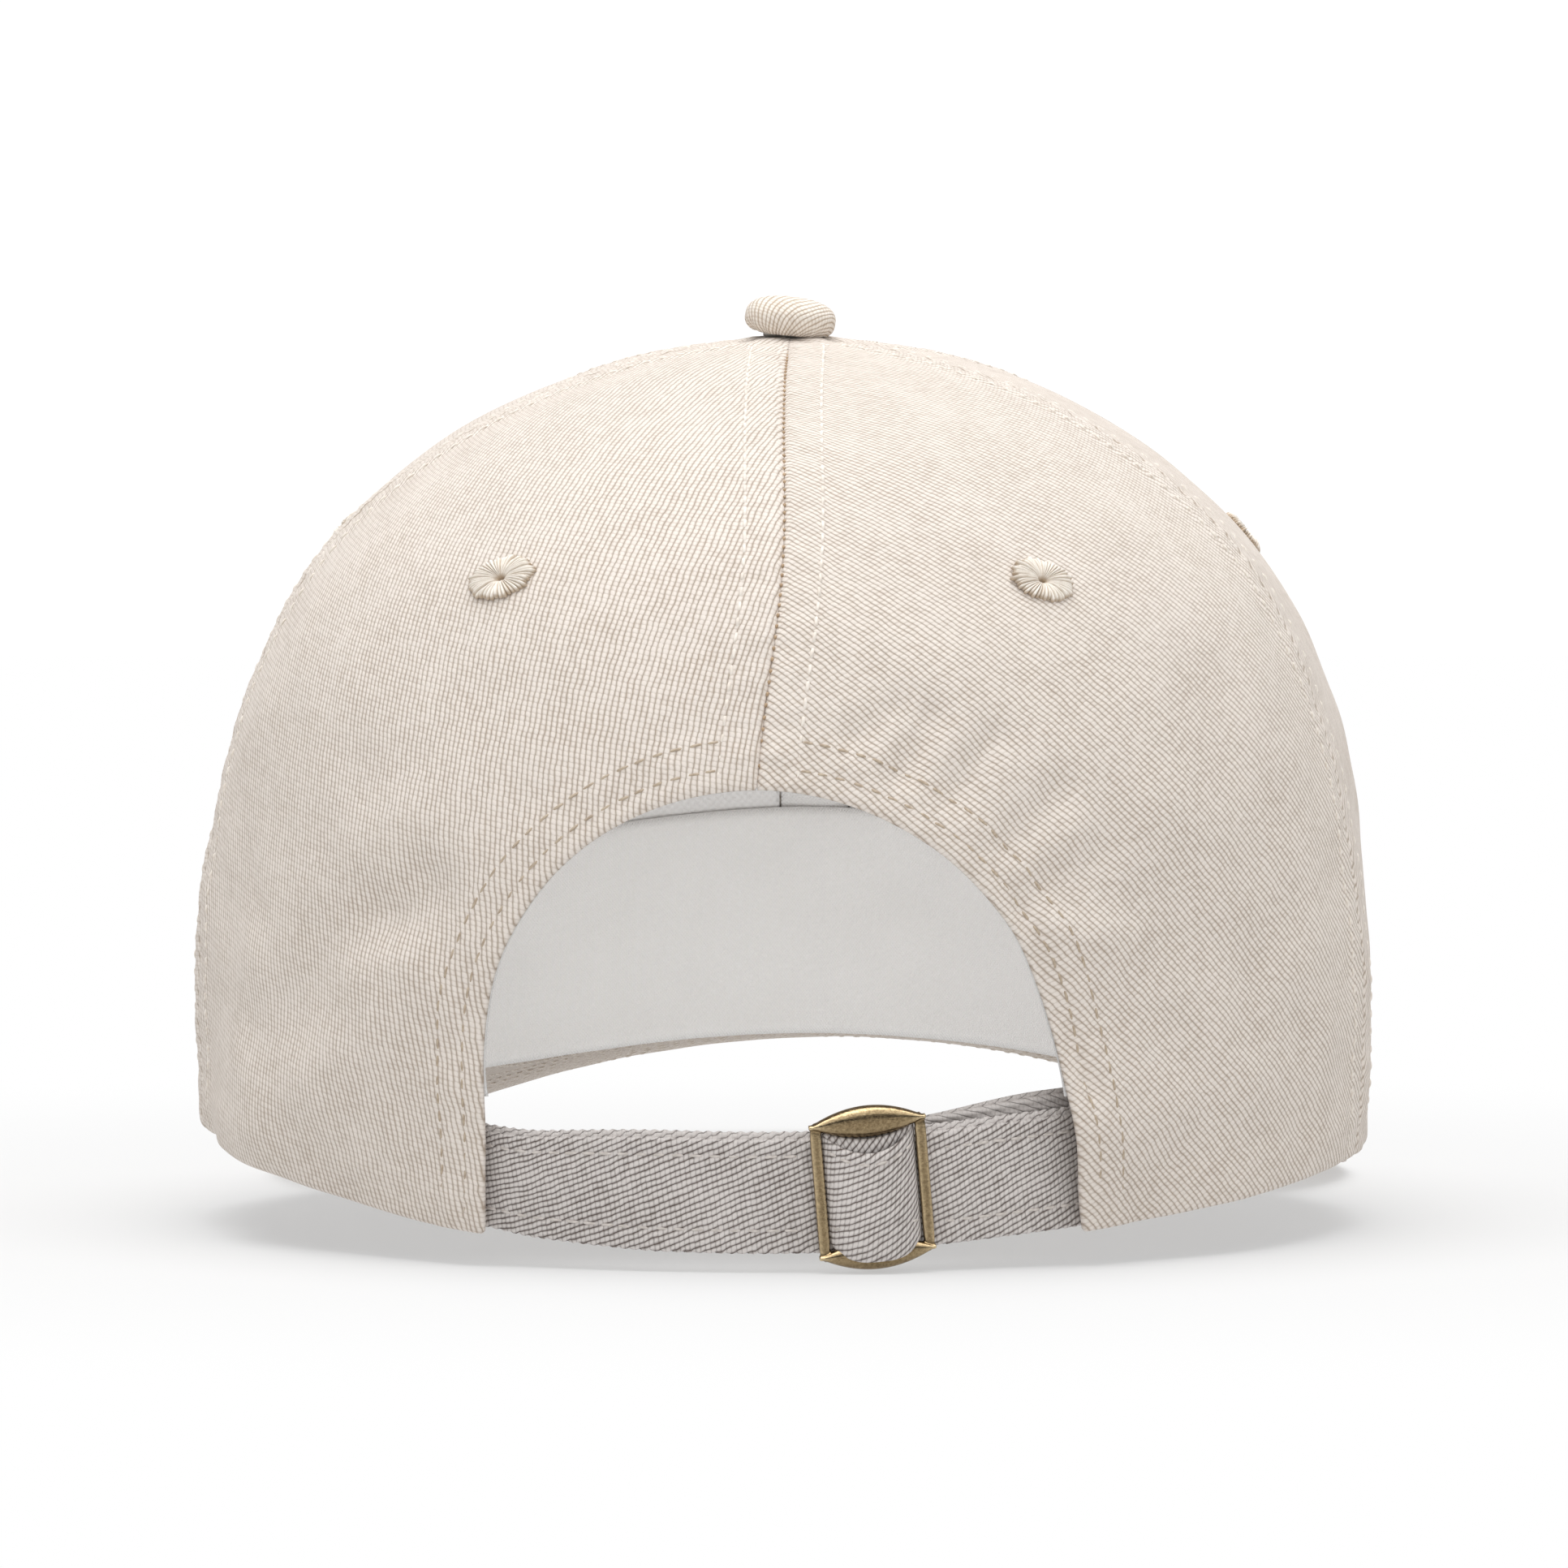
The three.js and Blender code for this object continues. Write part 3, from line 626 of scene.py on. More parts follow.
def plain_weave(name, light, dark, pitch=0.6, depth=0.08):
    """Tape and lining: over and under yarns in a checker."""
    cloth = Cloth(name)
    uv, across, along = weave_axes(cloth)
    warp = cloth.math("SINE", cloth.math("MULTIPLY", across, 2 * math.pi / pitch))
    weft = cloth.math("SINE", cloth.math("MULTIPLY", along, 2 * math.pi / pitch))
    height = cloth.math("MULTIPLY_ADD", cloth.math("MULTIPLY", warp, weft), 0.5, 0.5)
    patch = cloth.noise(uv, 0.12, 4.0)
    fuzz = cloth.noise(uv, 2.5, 3.0)
    amount = cloth.math("MULTIPLY_ADD", fuzz, 0.5, cloth.math("MULTIPLY", height, 0.6))
    color = cloth.mix(amount, dark, light)
    color = cloth.mix(cloth.math("MULTIPLY", patch, 0.25), color, dark)
    cloth.relief(cloth.math("ADD", height, fuzz), depth)
    return cloth.surface(color=color, roughness=cloth.math("MULTIPLY_ADD", patch, 0.1, 0.85), sheen=0.1)


def moulded(name, light, dark):
    """The visor board: moulded plastic with a faint grain."""
    cloth = Cloth(name)
    spot = cloth.place()
    grain = cloth.noise(spot, 1.4, 5.0, 0.6)
    color = cloth.mix(grain, light, dark)
    cloth.relief(grain, 0.04)
    return cloth.surface(color=color, roughness=cloth.math("MULTIPLY_ADD", grain, 0.2, 0.35))


def antique_brass(name):
    """Cast brass: dark in the hollows, rubbed bright on the edges, and scratched."""
    cloth = Cloth(name)
    spot = cloth.place()
    worn = cloth.node("ShaderNodeAttribute", 2, {"attribute_name": "wear"})
    cloud = cloth.noise(spot, 0.35, 5.0, 0.65)
    speck = cloth.noise(spot, 2.6, 4.0, 0.7)
    brushed = cloth.node("ShaderNodeMapping", 0, Vector=spot, Scale=(0.5, 4.0, 6.0))
    scratch = cloth.noise(brushed, 1.0, 3.0, 0.7)
    rub = cloth.math("MULTIPLY_ADD", speck, 0.7, cloth.math("SUBTRACT", worn, 0.35))
    rub.node.use_clamp = True
    cloud = cloth.math("MULTIPLY_ADD", speck, 0.9, cloth.math("SUBTRACT", cloud, 0.45))
    cloud.node.use_clamp = True
    color = cloth.mix(cloud, (0.09, 0.060, 0.030), (0.27, 0.195, 0.105))
    color = cloth.mix(cloth.math("MULTIPLY", scratch, 0.35), color, (0.38, 0.28, 0.16))
    color = cloth.mix(rub, color, (0.82, 0.66, 0.41))
    rough = cloth.math("MULTIPLY_ADD", rub, -0.06, cloth.math("MULTIPLY_ADD", speck, 0.16, 0.12))
    cloth.relief(cloth.math("MULTIPLY_ADD", speck, 0.6, scratch), 0.018)
    return cloth.surface(color=color, roughness=rough, metallic=1.0)


def pressed_steel(name):
    cloth = Cloth(name)
    spot = cloth.place()
    cloud = cloth.noise(spot, 0.6, 5.0)
    speck = cloth.noise(spot, 4.0, 3.0)
    color = cloth.mix(cloud, (0.35, 0.35, 0.34), (0.62, 0.62, 0.6))
    cloth.relief(speck, 0.03)
    return cloth.surface(color=color, roughness=cloth.math("MULTIPLY_ADD", cloud, 0.3, 0.25), metallic=1.0)


# For each twill, the second colour is painted shade in the weave's grooves.
panel_cloth = twill("crown_twill", (0.785, 0.72, 0.66), (0.44, 0.36, 0.29), depth=0.11)
button_cloth = twill("button_twill", (0.84, 0.78, 0.71), (0.50, 0.385, 0.28), pitch=0.8, depth=0.14)
strap_cloth = twill("strap_twill", (0.70, 0.655, 0.63), (0.135, 0.105, 0.09), pitch=0.86, tone=0.12)
seam_thread = thread("cream_thread", (0.84, 0.78, 0.71), (0.58, 0.49, 0.40))
strap_thread = thread("strap_thread", (0.66, 0.61, 0.57), (0.42, 0.37, 0.33))
# The arch's stitches are darkened with painted shade.
tan_thread = thread("tan_thread", (0.50, 0.41, 0.31), (0.26, 0.19, 0.13))
# The seams' join rows are dark brown: painted shade in the seam's groove.
groove_thread = thread("groove_thread", (0.45, 0.32, 0.20), (0.24, 0.16, 0.09))
satin_thread = satin("satin_thread")
tape_cloth = plain_weave("seam_tape", (0.90, 0.89, 0.88), (0.80, 0.79, 0.78))
band_cloth = plain_weave("sweatband_cloth", (0.92, 0.91, 0.90), (0.84, 0.83, 0.82), pitch=0.5)
buckram_cloth = plain_weave("buckram", (0.92, 0.915, 0.91), (0.80, 0.79, 0.78), pitch=1.4, depth=0.15)
board_plastic = moulded("visor_plastic", (0.72, 0.71, 0.68), (0.60, 0.59, 0.56))
brass = antique_brass("antique_brass")
steel = pressed_steel("button_steel")


# ---- Crown panels ----


def arch_edge(side, spacing=0.8):
    """The arch's edge on one side (+1 is the wearer's left), top to rim, as (azimuth, latitude)."""
    bend = np.linspace(RIGHT_ANGLE, 0, 60)
    x = ARCH_HALF_WIDTH * np.cos(bend)
    z = ARCH_SPRING + (ARCH_TOP - ARCH_SPRING) * np.sin(bend)
    spread = (ARCH_FOOT - ARCH_HALF_WIDTH) * ARCH_SPRING / (ARCH_SPRING - ARCH_CUT_FOOT)
    straight = np.linspace(0, 1, 20)[1:]
    x = np.concatenate([x, ARCH_HALF_WIDTH + spread * straight])
    z = np.concatenate([z, ARCH_SPRING * (1 - straight)])
    x = side * x - ARCH_LEAN * (ARCH_TOP - z)
    path = resample(np.stack([x, z], -1), spacing)
    lat = latitude_at(0, path[:, 1])
    reach = crown_surface(0, lat)[:, 1] / REAR_DEPTH
    az = np.arcsin(path[:, 0] / HALF_WIDTH / reach)
    az[0] = 0 if abs(az[0]) < 0.01 else az[0]
    return np.stack([az, lat], -1)


def inside(points, outline):
    x, y = points[:, :1], points[:, 1:]
    x0, y0 = outline[:, 0], outline[:, 1]
    x1, y1 = np.roll(x0, -1), np.roll(y0, -1)
    crosses = (y0 > y) != (y1 > y)
    with np.errstate(divide="ignore", invalid="ignore"):
        at = x0 + (y - y0) * (x1 - x0) / (y1 - y0)
    return (crosses & (x < at)).sum(1) % 2 == 1


class Flat:
    """A panel laid flat: p to the right and q up, seen from outside, in millimetres."""

    def __init__(self, az0, az1):
        self.middle = (az0 + az1) / 2
        t = np.linspace(0, 1, 3000)
        self.lat = RIGHT_ANGLE * (1 - (1 - t) ** 2.5)
        meridian = crown_surface(self.middle, self.lat)
        self.down = along_path(meridian)
        self.width = speed(self.middle, self.lat)

    def to_flat(self, az, lat):
        q = np.interp(lat, self.lat, self.down)
        return np.stack([-(az - self.middle) * np.interp(lat, self.lat, self.width), -q], -1)

    def to_crown(self, flat):
        lat = np.interp(-flat[..., 1], self.down, self.lat)
        width = np.maximum(np.interp(lat, self.lat, self.width), 1e-6)
        return self.middle - flat[..., 0] / width, lat


SEAM_TRIM = 0.01  # half the hairline left between two panels
HEM_OFFSETS = (0.3, 0.75, 1.4, 2.2)  # rows of points that follow a panel's edge, for its hem and seams
EDGE_STEP = 0.8


def panel_outline(az0, az1, side):
    """The panel's outline as (azimuth, latitude), with the stretches used for its relief."""
    top = latitude_for_reach(APEX_HOLE / HALF_WIDTH)
    t = np.linspace(0, 1, 400)

    def seam(az, turn, bottom):
        lat = top + (bottom - top) * (1 - (1 - t) ** 1.6)
        return np.stack([az + turn * SEAM_TRIM / speed(az, lat), lat], -1)

    low, high = min(az0, az1), max(az0, az1)
    bottoms = [latitude_at(a, rim_height(a)) for a in (low, high)]
    arch = None
    if side:
        arch = arch_edge(side)
        bottoms = [arch[0, 1] if a == 0 else b for a, b in zip((low, high), bottoms)]
    first = seam(low, 1, bottoms[0])
    last = seam(high, -1, bottoms[1])
    start, stop = first[-1], last[-1]
    if arch is None:
        az = np.linspace(start[0], stop[0], 200)
        rim = np.stack([az, latitude_at(az, rim_height(az))], -1)
        bottom = rim
    else:
        outer = high if side > 0 else low
        az = np.linspace(arch[-1, 0], outer, 160)[1:]
        rim = np.stack([az, latitude_at(az, rim_height(az))], -1)
        bottom = np.vstack([arch, rim])
        rim = np.vstack([arch[-1:], rim])
        if side < 0:
            bottom = bottom[::-1]
    apex = np.stack([np.linspace(last[0, 0], first[0, 0], 30), np.full(30, top)], -1)
    outline = np.vstack([first[:-1], bottom, last[::-1][1:-1], apex[:-1]])
    return outline, (first, last), arch, rim


def hem_roll(distance, radius):
    return 1 - np.sqrt(1 - np.clip(1 - distance / radius, 0, 1) ** 2)


def seam_relief(far, along, seed):
    groove = -0.62 * bump(far, 0.42) * smooth(3, 16, along)
    raised = 0.34 * (1 - smooth(5.2, 6.8, far))
    dips = 0.65 + 0.35 * np.cos(2 * math.pi * along / STITCH)
    row = -0.26 * bump(far - TOPSTITCH, 0.5) * dips
    pucker = 0.11 * np.sin(along * 2 * math.pi / 6.3 + seed) * bump(far - 2.6, 1.9)
    tuck = 0.10 * np.cos(2 * math.pi * along / STITCH) * bump(far - 0.9, 0.7)
    return groove + raised + row + pucker + tuck


def arch_relief(far, along):
    total = 0.30 * (1 - smooth(7.4, 9.0, far)) - 0.42 * hem_roll(far, 0.9)
    for row in ARCH_ROWS:
        dips = 0.65 + 0.35 * np.cos(2 * math.pi * along / STITCH)
        total = total - 0.26 * bump(far - row, 0.5) * dips
    total = total + 0.15 * np.cos(2 * math.pi * along / 2.1) * bump(far, 0.9)
    return total + 0.12 * np.sin(along * 2 * math.pi / 8.7) * bump(far - 5, 1.6)


def panel_spots(edge, hole, spacing):
    """Points over a flat panel: rows close to its edge, a honeycomb within, and last the eyelet's rim."""
    run = unit(np.roll(edge, -1, 0) - np.roll(edge, 1, 0))
    normal = np.stack([-run[:, 1], run[:, 0]], -1)
    if not inside(edge[:1] + normal[:1] * 0.05, edge)[0]:
        normal = -normal
    closed = np.vstack([edge, edge[:1]])
    kept = [edge]
    for offset in HEM_OFFSETS:
        row = edge + normal * offset
        far, _ = to_path(row, closed)
        kept.append(row[(far > offset * 0.93) & inside(row, edge)])
    low, high = edge.min(0), edge.max(0)
    comb = []
    for number, y in enumerate(np.arange(low[1], high[1], spacing * math.sqrt(0.75))):
        x = np.arange(low[0] + (number % 2) * spacing / 2, high[0], spacing)
        comb.append(np.stack([x, np.full(len(x), y)], -1))
    comb = np.concatenate(comb)
    comb = comb[inside(comb, edge)]
    far, _ = to_path(comb, closed)
    away = np.linalg.norm(comb - hole, axis=1)
    comb = comb[(far > HEM_OFFSETS[-1] + spacing * 0.6) & (away > EYELET_CUT + 0.5)]
    turn = round_turn(28)
    ring = hole + EYELET_CUT * np.stack([np.cos(turn), np.sin(turn)], -1)
    return np.concatenate([*kept, comb, ring]), len(ring)


def panel_triangles(edge, hole, spacing):
    """The flat panel's vertices and triangles, with the eyelet's hole left out."""
    spots, on_ring = panel_spots(edge, hole, spacing)
    loops = (list(range(len(edge))), list(range(len(spots) - on_ring, len(spots))))
    edges = [(a, b) for loop in loops for a, b in zip(loop, loop[1:] + loop[:1])]
    verts, _, tris, *_ = delaunay_2d_cdt([Vector(spot) for spot in spots], edges, [], 0, 1e-6)
    verts = np.array([tuple(vert) for vert in verts])
    tris = np.array([tri for tri in tris if len(tri) == 3])
    middle = verts[tris].mean(1)
    clear = np.linalg.norm(middle - hole, axis=1) > EYELET_CUT * 0.97
    used, tris = np.unique(tris[inside(middle, edge) & clear], return_inverse=True)
    return verts[used], tris.reshape(-1, 3)


def panel_relief(base, seams, arch, rim):
    """How far a panel's outer and inner faces stand out from the soft surface."""
    outer = np.zeros(len(base))
    for number, seam in enumerate(seams):
        far, along = to_path(base, crown_surface(*seam.T)[::4])
        outer = outer + seam_relief(far, along, number)
    rim_far, _ = to_path(base, crown_surface(*rim.T))
    outer = outer - 0.40 * hem_roll(rim_far, 1.1) + 0.18 * (1 - smooth(5.5, 7.5, rim_far))
    inner = 0.15 * hem_roll(rim_far, 0.8) - FABRIC
    if arch is not None:
        far, along = to_path(base, crown_surface(*arch.T))
        fade = smooth(0, 1, far / (rim_far + 0.3))
        outer = outer + arch_relief(far, along)
        inner = inner + 0.15 * hem_roll(far, 0.8) * (1 - fade)
    return np.maximum(outer, inner + 0.22), inner


def panel(name, az0, az1, side, eyelet_az, rib_angle, spacing):
    """One crown panel: cut flat, meshed, then laid on the crown as a sheet with two faces."""
    flat = Flat(az0, az1)
    outline, seams, arch, rim = panel_outline(az0, az1, side)
    closed = np.vstack([outline, outline[:1]])
    edge = resample(flat.to_flat(*closed.T), EDGE_STEP)[:-1]
    hole = flat.to_flat(np.array([eyelet_az]), np.array([EYELET_LATITUDE]))[0]
    verts, tris = panel_triangles(edge, hole, spacing)

    az, lat = flat.to_crown(verts)
    lat = np.minimum(lat, RIGHT_ANGLE)
    base = crown_surface(az, lat)
    out = crown_normal(az, lat)
    lift = soft_shape(base)
    outer, inner = panel_relief(base, seams, arch, rim)
    top = base + out * (lift + outer)[:, None]
    low = base + out * (lift + inner)[:, None]

    count = len(verts)
    pairs = np.concatenate([tris[:, [0, 1]], tris[:, [1, 2]], tris[:, [2, 0]]])
    there = pairs[:, 0] * count + pairs[:, 1]
    back = pairs[:, 1] * count + pairs[:, 0]
    a, b = pairs[~np.isin(there, back)].T
    sides = np.stack([b, a, a + count, b + count], -1)
    faces = [tris, tris[:, ::-1] + count, sides]
    uv = turned_uv(verts[:, 0], verts[:, 1], rib_angle)
    points = np.vstack([top, low])
    add_piece(name, "crown", points, faces, panel_cloth, [name], np.vstack([uv, uv]))


# ---- Stitches ----


def stitch_mesh(centres, runs, ups, length, radius, dip=0.35, around=7, rings=7):
    """Threads lying on the cloth, with both ends going down into it."""
    t = np.linspace(-1, 1, rings)
    turn = round_turn(around)
    girth = np.sqrt(np.maximum(0, 1 - np.abs(t) ** 3.2)) * 0.92 + 0.08
    sides = unit(np.cross(runs, ups))
    length = np.broadcast_to(length, len(centres))
    middle = (centres[:, None] + runs[:, None] * (length[:, None] / 2 * t)[..., None]
              - ups[:, None] * (dip * np.abs(t) ** 2.5)[None, :, None])
    ring = (sides[:, None, None] * np.cos(turn)[:, None] + ups[:, None, None] * np.sin(turn)[:, None] * 0.8)
    points = middle[:, :, None] + ring * (radius * girth)[None, :, None, None]
    index = np.arange(rings * around).reshape(rings, around)
    index = np.hstack([index, index[:, :1]])
    quads = quads_between(index)
    ends = []
    for row, way in ((0, 1), (rings - 1, -1)):
        loop = index[row][:-1][::way]
        ends.append(np.stack([np.full(around - 2, loop[0]), loop[1:-1], loop[2:]], -1))
    ends = np.concatenate(ends)
    offsets = np.arange(len(centres)) * rings * around
    all_quads = (quads[None] + offsets[:, None, None]).reshape(-1, 4)
    all_ends = (ends[None] + offsets[:, None, None]).reshape(-1, 3)
    return points.reshape(-1, 3), [all_quads, all_ends]


def stitch_row(path, ups, pitch=STITCH, length=0.80, radius=0.27, lift=0.0, dip=0.35, seed=1):
    """One row of stitches along a path with outward directions, all in crown millimetres."""
    rng = np.random.default_rng(seed)
    distance = along_path(path)
    count = int(distance[-1] / pitch)
    at = (np.arange(count) + 0.5) * distance[-1] / count
    at = at + rng.normal(0, 0.05, count)

    def sample(values, where):
        return np.stack([np.interp(where, distance, values[:, k]) for k in range(3)], -1)

    centres = sample(path, at)
    runs = unit(sample(path, at + pitch / 3) - sample(path, at - pitch / 3))
    out = unit(sample(ups, at))
    runs = unit(runs + np.cross(out, runs) * rng.normal(0, 0.05, count)[:, None])
    size = pitch * length * (1 + rng.normal(0, 0.05, count))
    return stitch_mesh(centres + out * lift, runs, out, size, radius, dip)


def crown_row(az, lat, **options):
    """A row of stitches on the crown; the topstitching lies in its own shallow channel."""
    base = crown_surface(az, lat)
    out = crown_normal(az, lat)
    return stitch_row(base + out * soft_shape(base)[:, None], out, **options)


def thread_piece(name, parts, material, body="crown"):
    points, faces = joined(parts)
    add_piece(name, body, points, faces, material)


def down_seam(az, start, bottom_height):
    """Latitudes down a seam, from a distance off the apex, closest together at the top."""
    top = latitude_for_reach(start / HALF_WIDTH)
    return top + (latitude_at(az, bottom_height) - top) * (1 - (1 - np.linspace(0, 1, 300)) ** 1.6)


def seam_stitches(name, az, spans, bottom_height, seed):
    """Both rows beside a seam. spans are the angles of the panels on the two sides."""
    parts = []
    for side, span in zip((1, -1), spans):
        start = max(TOPSTITCH / math.sin(span / 2) + 0.8, BUTTON_RADIUS + 0.6)
        lat = down_seam(az, start, bottom_height)
        row = az + side * TOPSTITCH / speed(az, lat)
        parts.append(crown_row(row, lat, lift=0.22, seed=seed + side))
    thread_piece(name, parts, seam_thread)
    # The join row sits in the seam's groove; its dark brown is painted shade.
    lat = down_seam(az, BUTTON_RADIUS, bottom_height)
    look = {"pitch": 1.7, "length": 0.4, "radius": 0.23, "lift": -0.12, "dip": 0.15}
    row = crown_row(np.full(len(lat), az), lat, seed=seed, **look)
    thread_piece(name.replace("stitches", "join"), [row], groove_thread)


def arch_row(side, offset, seed):
    """Half of a row of stitches round the arch."""
    edge = arch_edge(side)
    base = crown_surface(edge[:, 0], edge[:, 1])
    out = crown_normal(edge[:, 0], edge[:, 1])
    run = unit(np.gradient(base, axis=0))
    inward = np.cross(out, run) * side
    if inward[len(inward) // 2, 0] * side < 0:
        inward = -inward
    moved = base + inward * offset
    keep = (moved[:, 2] > 1.5) & (moved[:, 0] * side > -0.2)
    moved = moved[keep]
    lat = latitude_at(0, np.maximum(moved[:, 2], 0.01))
    az = np.arctan2(moved[:, 0] / HALF_WIDTH, moved[:, 1] / REAR_DEPTH)
    return crown_row(az, lat, length=0.95, radius=0.21, lift=0.18, seed=seed)


# ---- Eyelets ----


def eyelet(name, az, seed):
    """Radial satin stitches round a small hole, longer and shorter by turns at the rim."""
    rng = np.random.default_rng(seed)
    threads, steps = 46, 5
    around = threads * steps
    turn = np.arange(around) * 2 * math.pi / around
    strand = np.arange(around) // steps
    reach = np.repeat(rng.normal(0, 0.24, threads), steps)
    rise = np.repeat(rng.normal(0, 0.09, threads), steps)
    ridge = np.abs(np.sin(turn * threads / 2)) ** 0.8
    profile = np.array([
        (0.50, -1.25), (0.46, -0.6), (0.48, -0.15), (0.62, 0.12), (1.0, 0.36), (1.6, 0.56), (2.3, 0.70),
        (3.1, 0.76), (3.8, 0.72), (4.3, 0.58), (4.7, 0.26), (4.75, -0.02), (4.3, -0.22), (1.7, -0.22),
        (1.55, -1.25),
    ])
    out_share = smooth(1.2, 4.2, profile[:, 0]) * (profile[:, 1] > -0.2)
    up_share = smooth(0.6, 1.5, profile[:, 0]) * (profile[:, 1] > 0.0)
    radius = profile[:, 0] + out_share * (reach[:, None] + 0.34 * (ridge[:, None] - 0.6))
    height = profile[:, 1] + up_share * (rise[:, None] + 0.42 * (ridge[:, None] - 0.6))
    base = crown_surface(az, EYELET_LATITUDE)
    out = crown_normal(az, EYELET_LATITUDE)
    side = unit(np.cross(np.array([0, 0, 1.0]), out))
    up = np.cross(out, side)
    roll = rad(9) * np.sign(az)
    side, up = side * math.cos(roll) + up * math.sin(roll), up * math.cos(roll) - side * math.sin(roll)
    centre = base + out * soft_shape(base[None])[0]
    wave = turn[:, None]
    flat = side * 1.06 * np.cos(wave)[..., None] + up * 0.76 * np.sin(wave)[..., None]
    made, faces = loft(centre + radius[..., None] * flat + height[..., None] * out, ring=True)
    piece = add_piece(name, "crown", made, faces, satin_thread, [name])
    # Painted shade: dark in the valleys between strands, at the hole's edge and under the rim.
    shade = np.clip(ridge + rng.normal(0, 0.12, threads)[strand], 0, 1)[:, None]
    rim_shade = 1 - 0.75 * bump(profile[:, 0] - 0.5, 0.35) - 0.8 * (profile[:, 1] < 0.4) * (profile[:, 0] > 4)
    store(piece, "strand", shade * rim_shade)


# ---- Lining ----


def lining_sheet(name, az, lat, thickness, material):
    """A sheet under the panels; az and lat are grids."""
    points, faces = shell(crown_point(az, lat, LINING_DEPTH), crown_point(az, lat, LINING_DEPTH + thickness))
    middle = np.median(az)
    uv = np.stack([(az - middle) * speed(middle, lat), crown_height(az, lat)], -1).reshape(-1, 2)
    add_piece(name, "crown", points, faces, material, [name], np.vstack([uv, uv]))


def seam_tape(name, az, bottom_height):
    top = latitude_for_reach(TAPE_TOP / HALF_WIDTH)
    v = 1 - (1 - np.linspace(0, 1, 120)) ** 1.5
    lat = top + (latitude_at(az, bottom_height) - top) * v
    u = np.linspace(-1, 1, 15)
    lat, u = np.meshgrid(lat, u)
    round_to = az + u * (TAPE_WIDTH / 2) / speed(az, lat)
    puff = 0.16 * (1 - u**4) - 0.18 * bump(np.abs(u) - 0.78, 0.12)
    lining_sheet(name, round_to, lat, TAPE + puff, tape_cloth)


def buckram(name, az0, az1):
    top = latitude_for_reach(BUCKRAM_TOP / HALF_WIDTH)
    u, v = np.meshgrid(np.linspace(0, 1, 60), 1 - (1 - np.linspace(0, 1, 110)) ** 1.5, indexing="ij")
    az = az0 + (az1 - az0) * u
    lat = top + (latitude_at(az, rim_height(az) + 4) - top) * v
    trim = (TAPE_WIDTH / 2 + 0.3) / speed(az, lat)
    az = az0 + trim + (az1 - az0 - 2 * trim) * u
    lining_sheet(name, az, lat, BUCKRAM, buckram_cloth)


def sweatband():
    u, v = unit_grid(420, 26)
    az = rad(BAND_START) + (2 * math.pi - 2 * rad(BAND_START)) * u
    rim = rim_height(az)
    foot = rim + 0.5 - FRONT_DROOP * np.tanh(rim_over_visor(az) / FRONT_DROOP)
    lat = latitude_at(az, foot + (rim + 0.5 + BAND_HEIGHT - foot) * (1 - v))
    away = np.degrees(np.minimum(az, 2 * math.pi - az))
    pocket = POCKET_DEPTH * (1 - smooth(68, 84, away))
    edge = 0.25 * (bump(v - 0.06, 0.05) + bump(v - 0.96, 0.04)) + 0.10 * np.sin(u * 260)
    depth = BAND_DEPTH + pocket
    points, faces = shell(crown_point(az, lat, depth), crown_point(az, lat, depth + BAND + edge))
    uv = np.stack([u * BAND_LENGTH, v * BAND_HEIGHT], -1).reshape(-1, 2)
    uv = np.vstack([uv, uv])
    add_piece("sweatband", "crown", points, faces, band_cloth, ["sweatband"], uv)


def arch_binding():
    """The tape round the arch's edge, on the inside, above the strap."""
    foot, width = 19.0, 8.0
    u, v = unit_grid(180, 14)
    grow = width + (0.4 - width) * v
    rise = ARCH_TOP - ARCH_SPRING + grow
    start = np.arcsin((foot - ARCH_SPRING) / rise)
    bend = start + (math.pi - 2 * start) * u
    z = ARCH_SPRING + rise * np.sin(bend)
    x = (ARCH_HALF_WIDTH + grow) * np.cos(bend) - ARCH_LEAN * (ARCH_TOP - z)
    lat = latitude_at(0, z)
    reach = crown_surface(0, lat)[..., 1] / REAR_DEPTH
    az = np.arcsin(x / HALF_WIDTH / reach)
    puff = 0.12 * (1 - (2 * v - 1) ** 4)
    lining_sheet("arch_binding", az, lat, TAPE + puff, tape_cloth)


# ---- Button ----


def button():
    """A cloth-covered dome, a little flattened and tipped to the wearer's right."""
    around, steps = 120, 34
    turn = round_turn(around)[:, None]
    bend = np.linspace(0.02, rad(128), steps)[None, :]
    radius = (BUTTON_RADIUS - 0.15) * np.sin(bend) ** 0.86
    height = 3.0 + 3.25 * np.sign(np.cos(bend)) * np.abs(np.cos(bend)) ** 0.85
    gather = smooth(1.45, 2.1, bend)
    radius = radius * (1 + 0.035 * gather * np.cos(turn * 17) + 0.012 * np.sin(turn * 3 + 1))
    height = height + 0.16 * np.cos(turn * 2 + 0.6) * np.sin(bend) + 0.05 * np.sin(5 * turn) * np.sin(bend)
    x, y = radius * np.cos(turn), radius * np.sin(turn)
    tip = rad(7)
    c, s = math.cos(tip), math.sin(tip)
    outer = np.stack([x * c - height * s, y, x * s + height * c], -1) + np.array([0.4, 0, 0.15])
    inward = np.array([0, 0, 2.6]) - outer
    inner = outer + unit(inward) * 0.8
    points, faces = shell(outer, inner, ring=True)
    reach = bend * 4.9
    uv = np.stack([reach * np.cos(turn + 0.5), reach * np.sin(turn + 0.5)], -1).reshape(-1, 2)
    uv = np.vstack([uv, uv, np.zeros((2, 2))])
    points, faces = close_poles(points + BUTTON_SEAT, faces, around, steps)
    add_piece("button_cover", "crown", points, faces, button_cloth, ["button_cover"], uv)


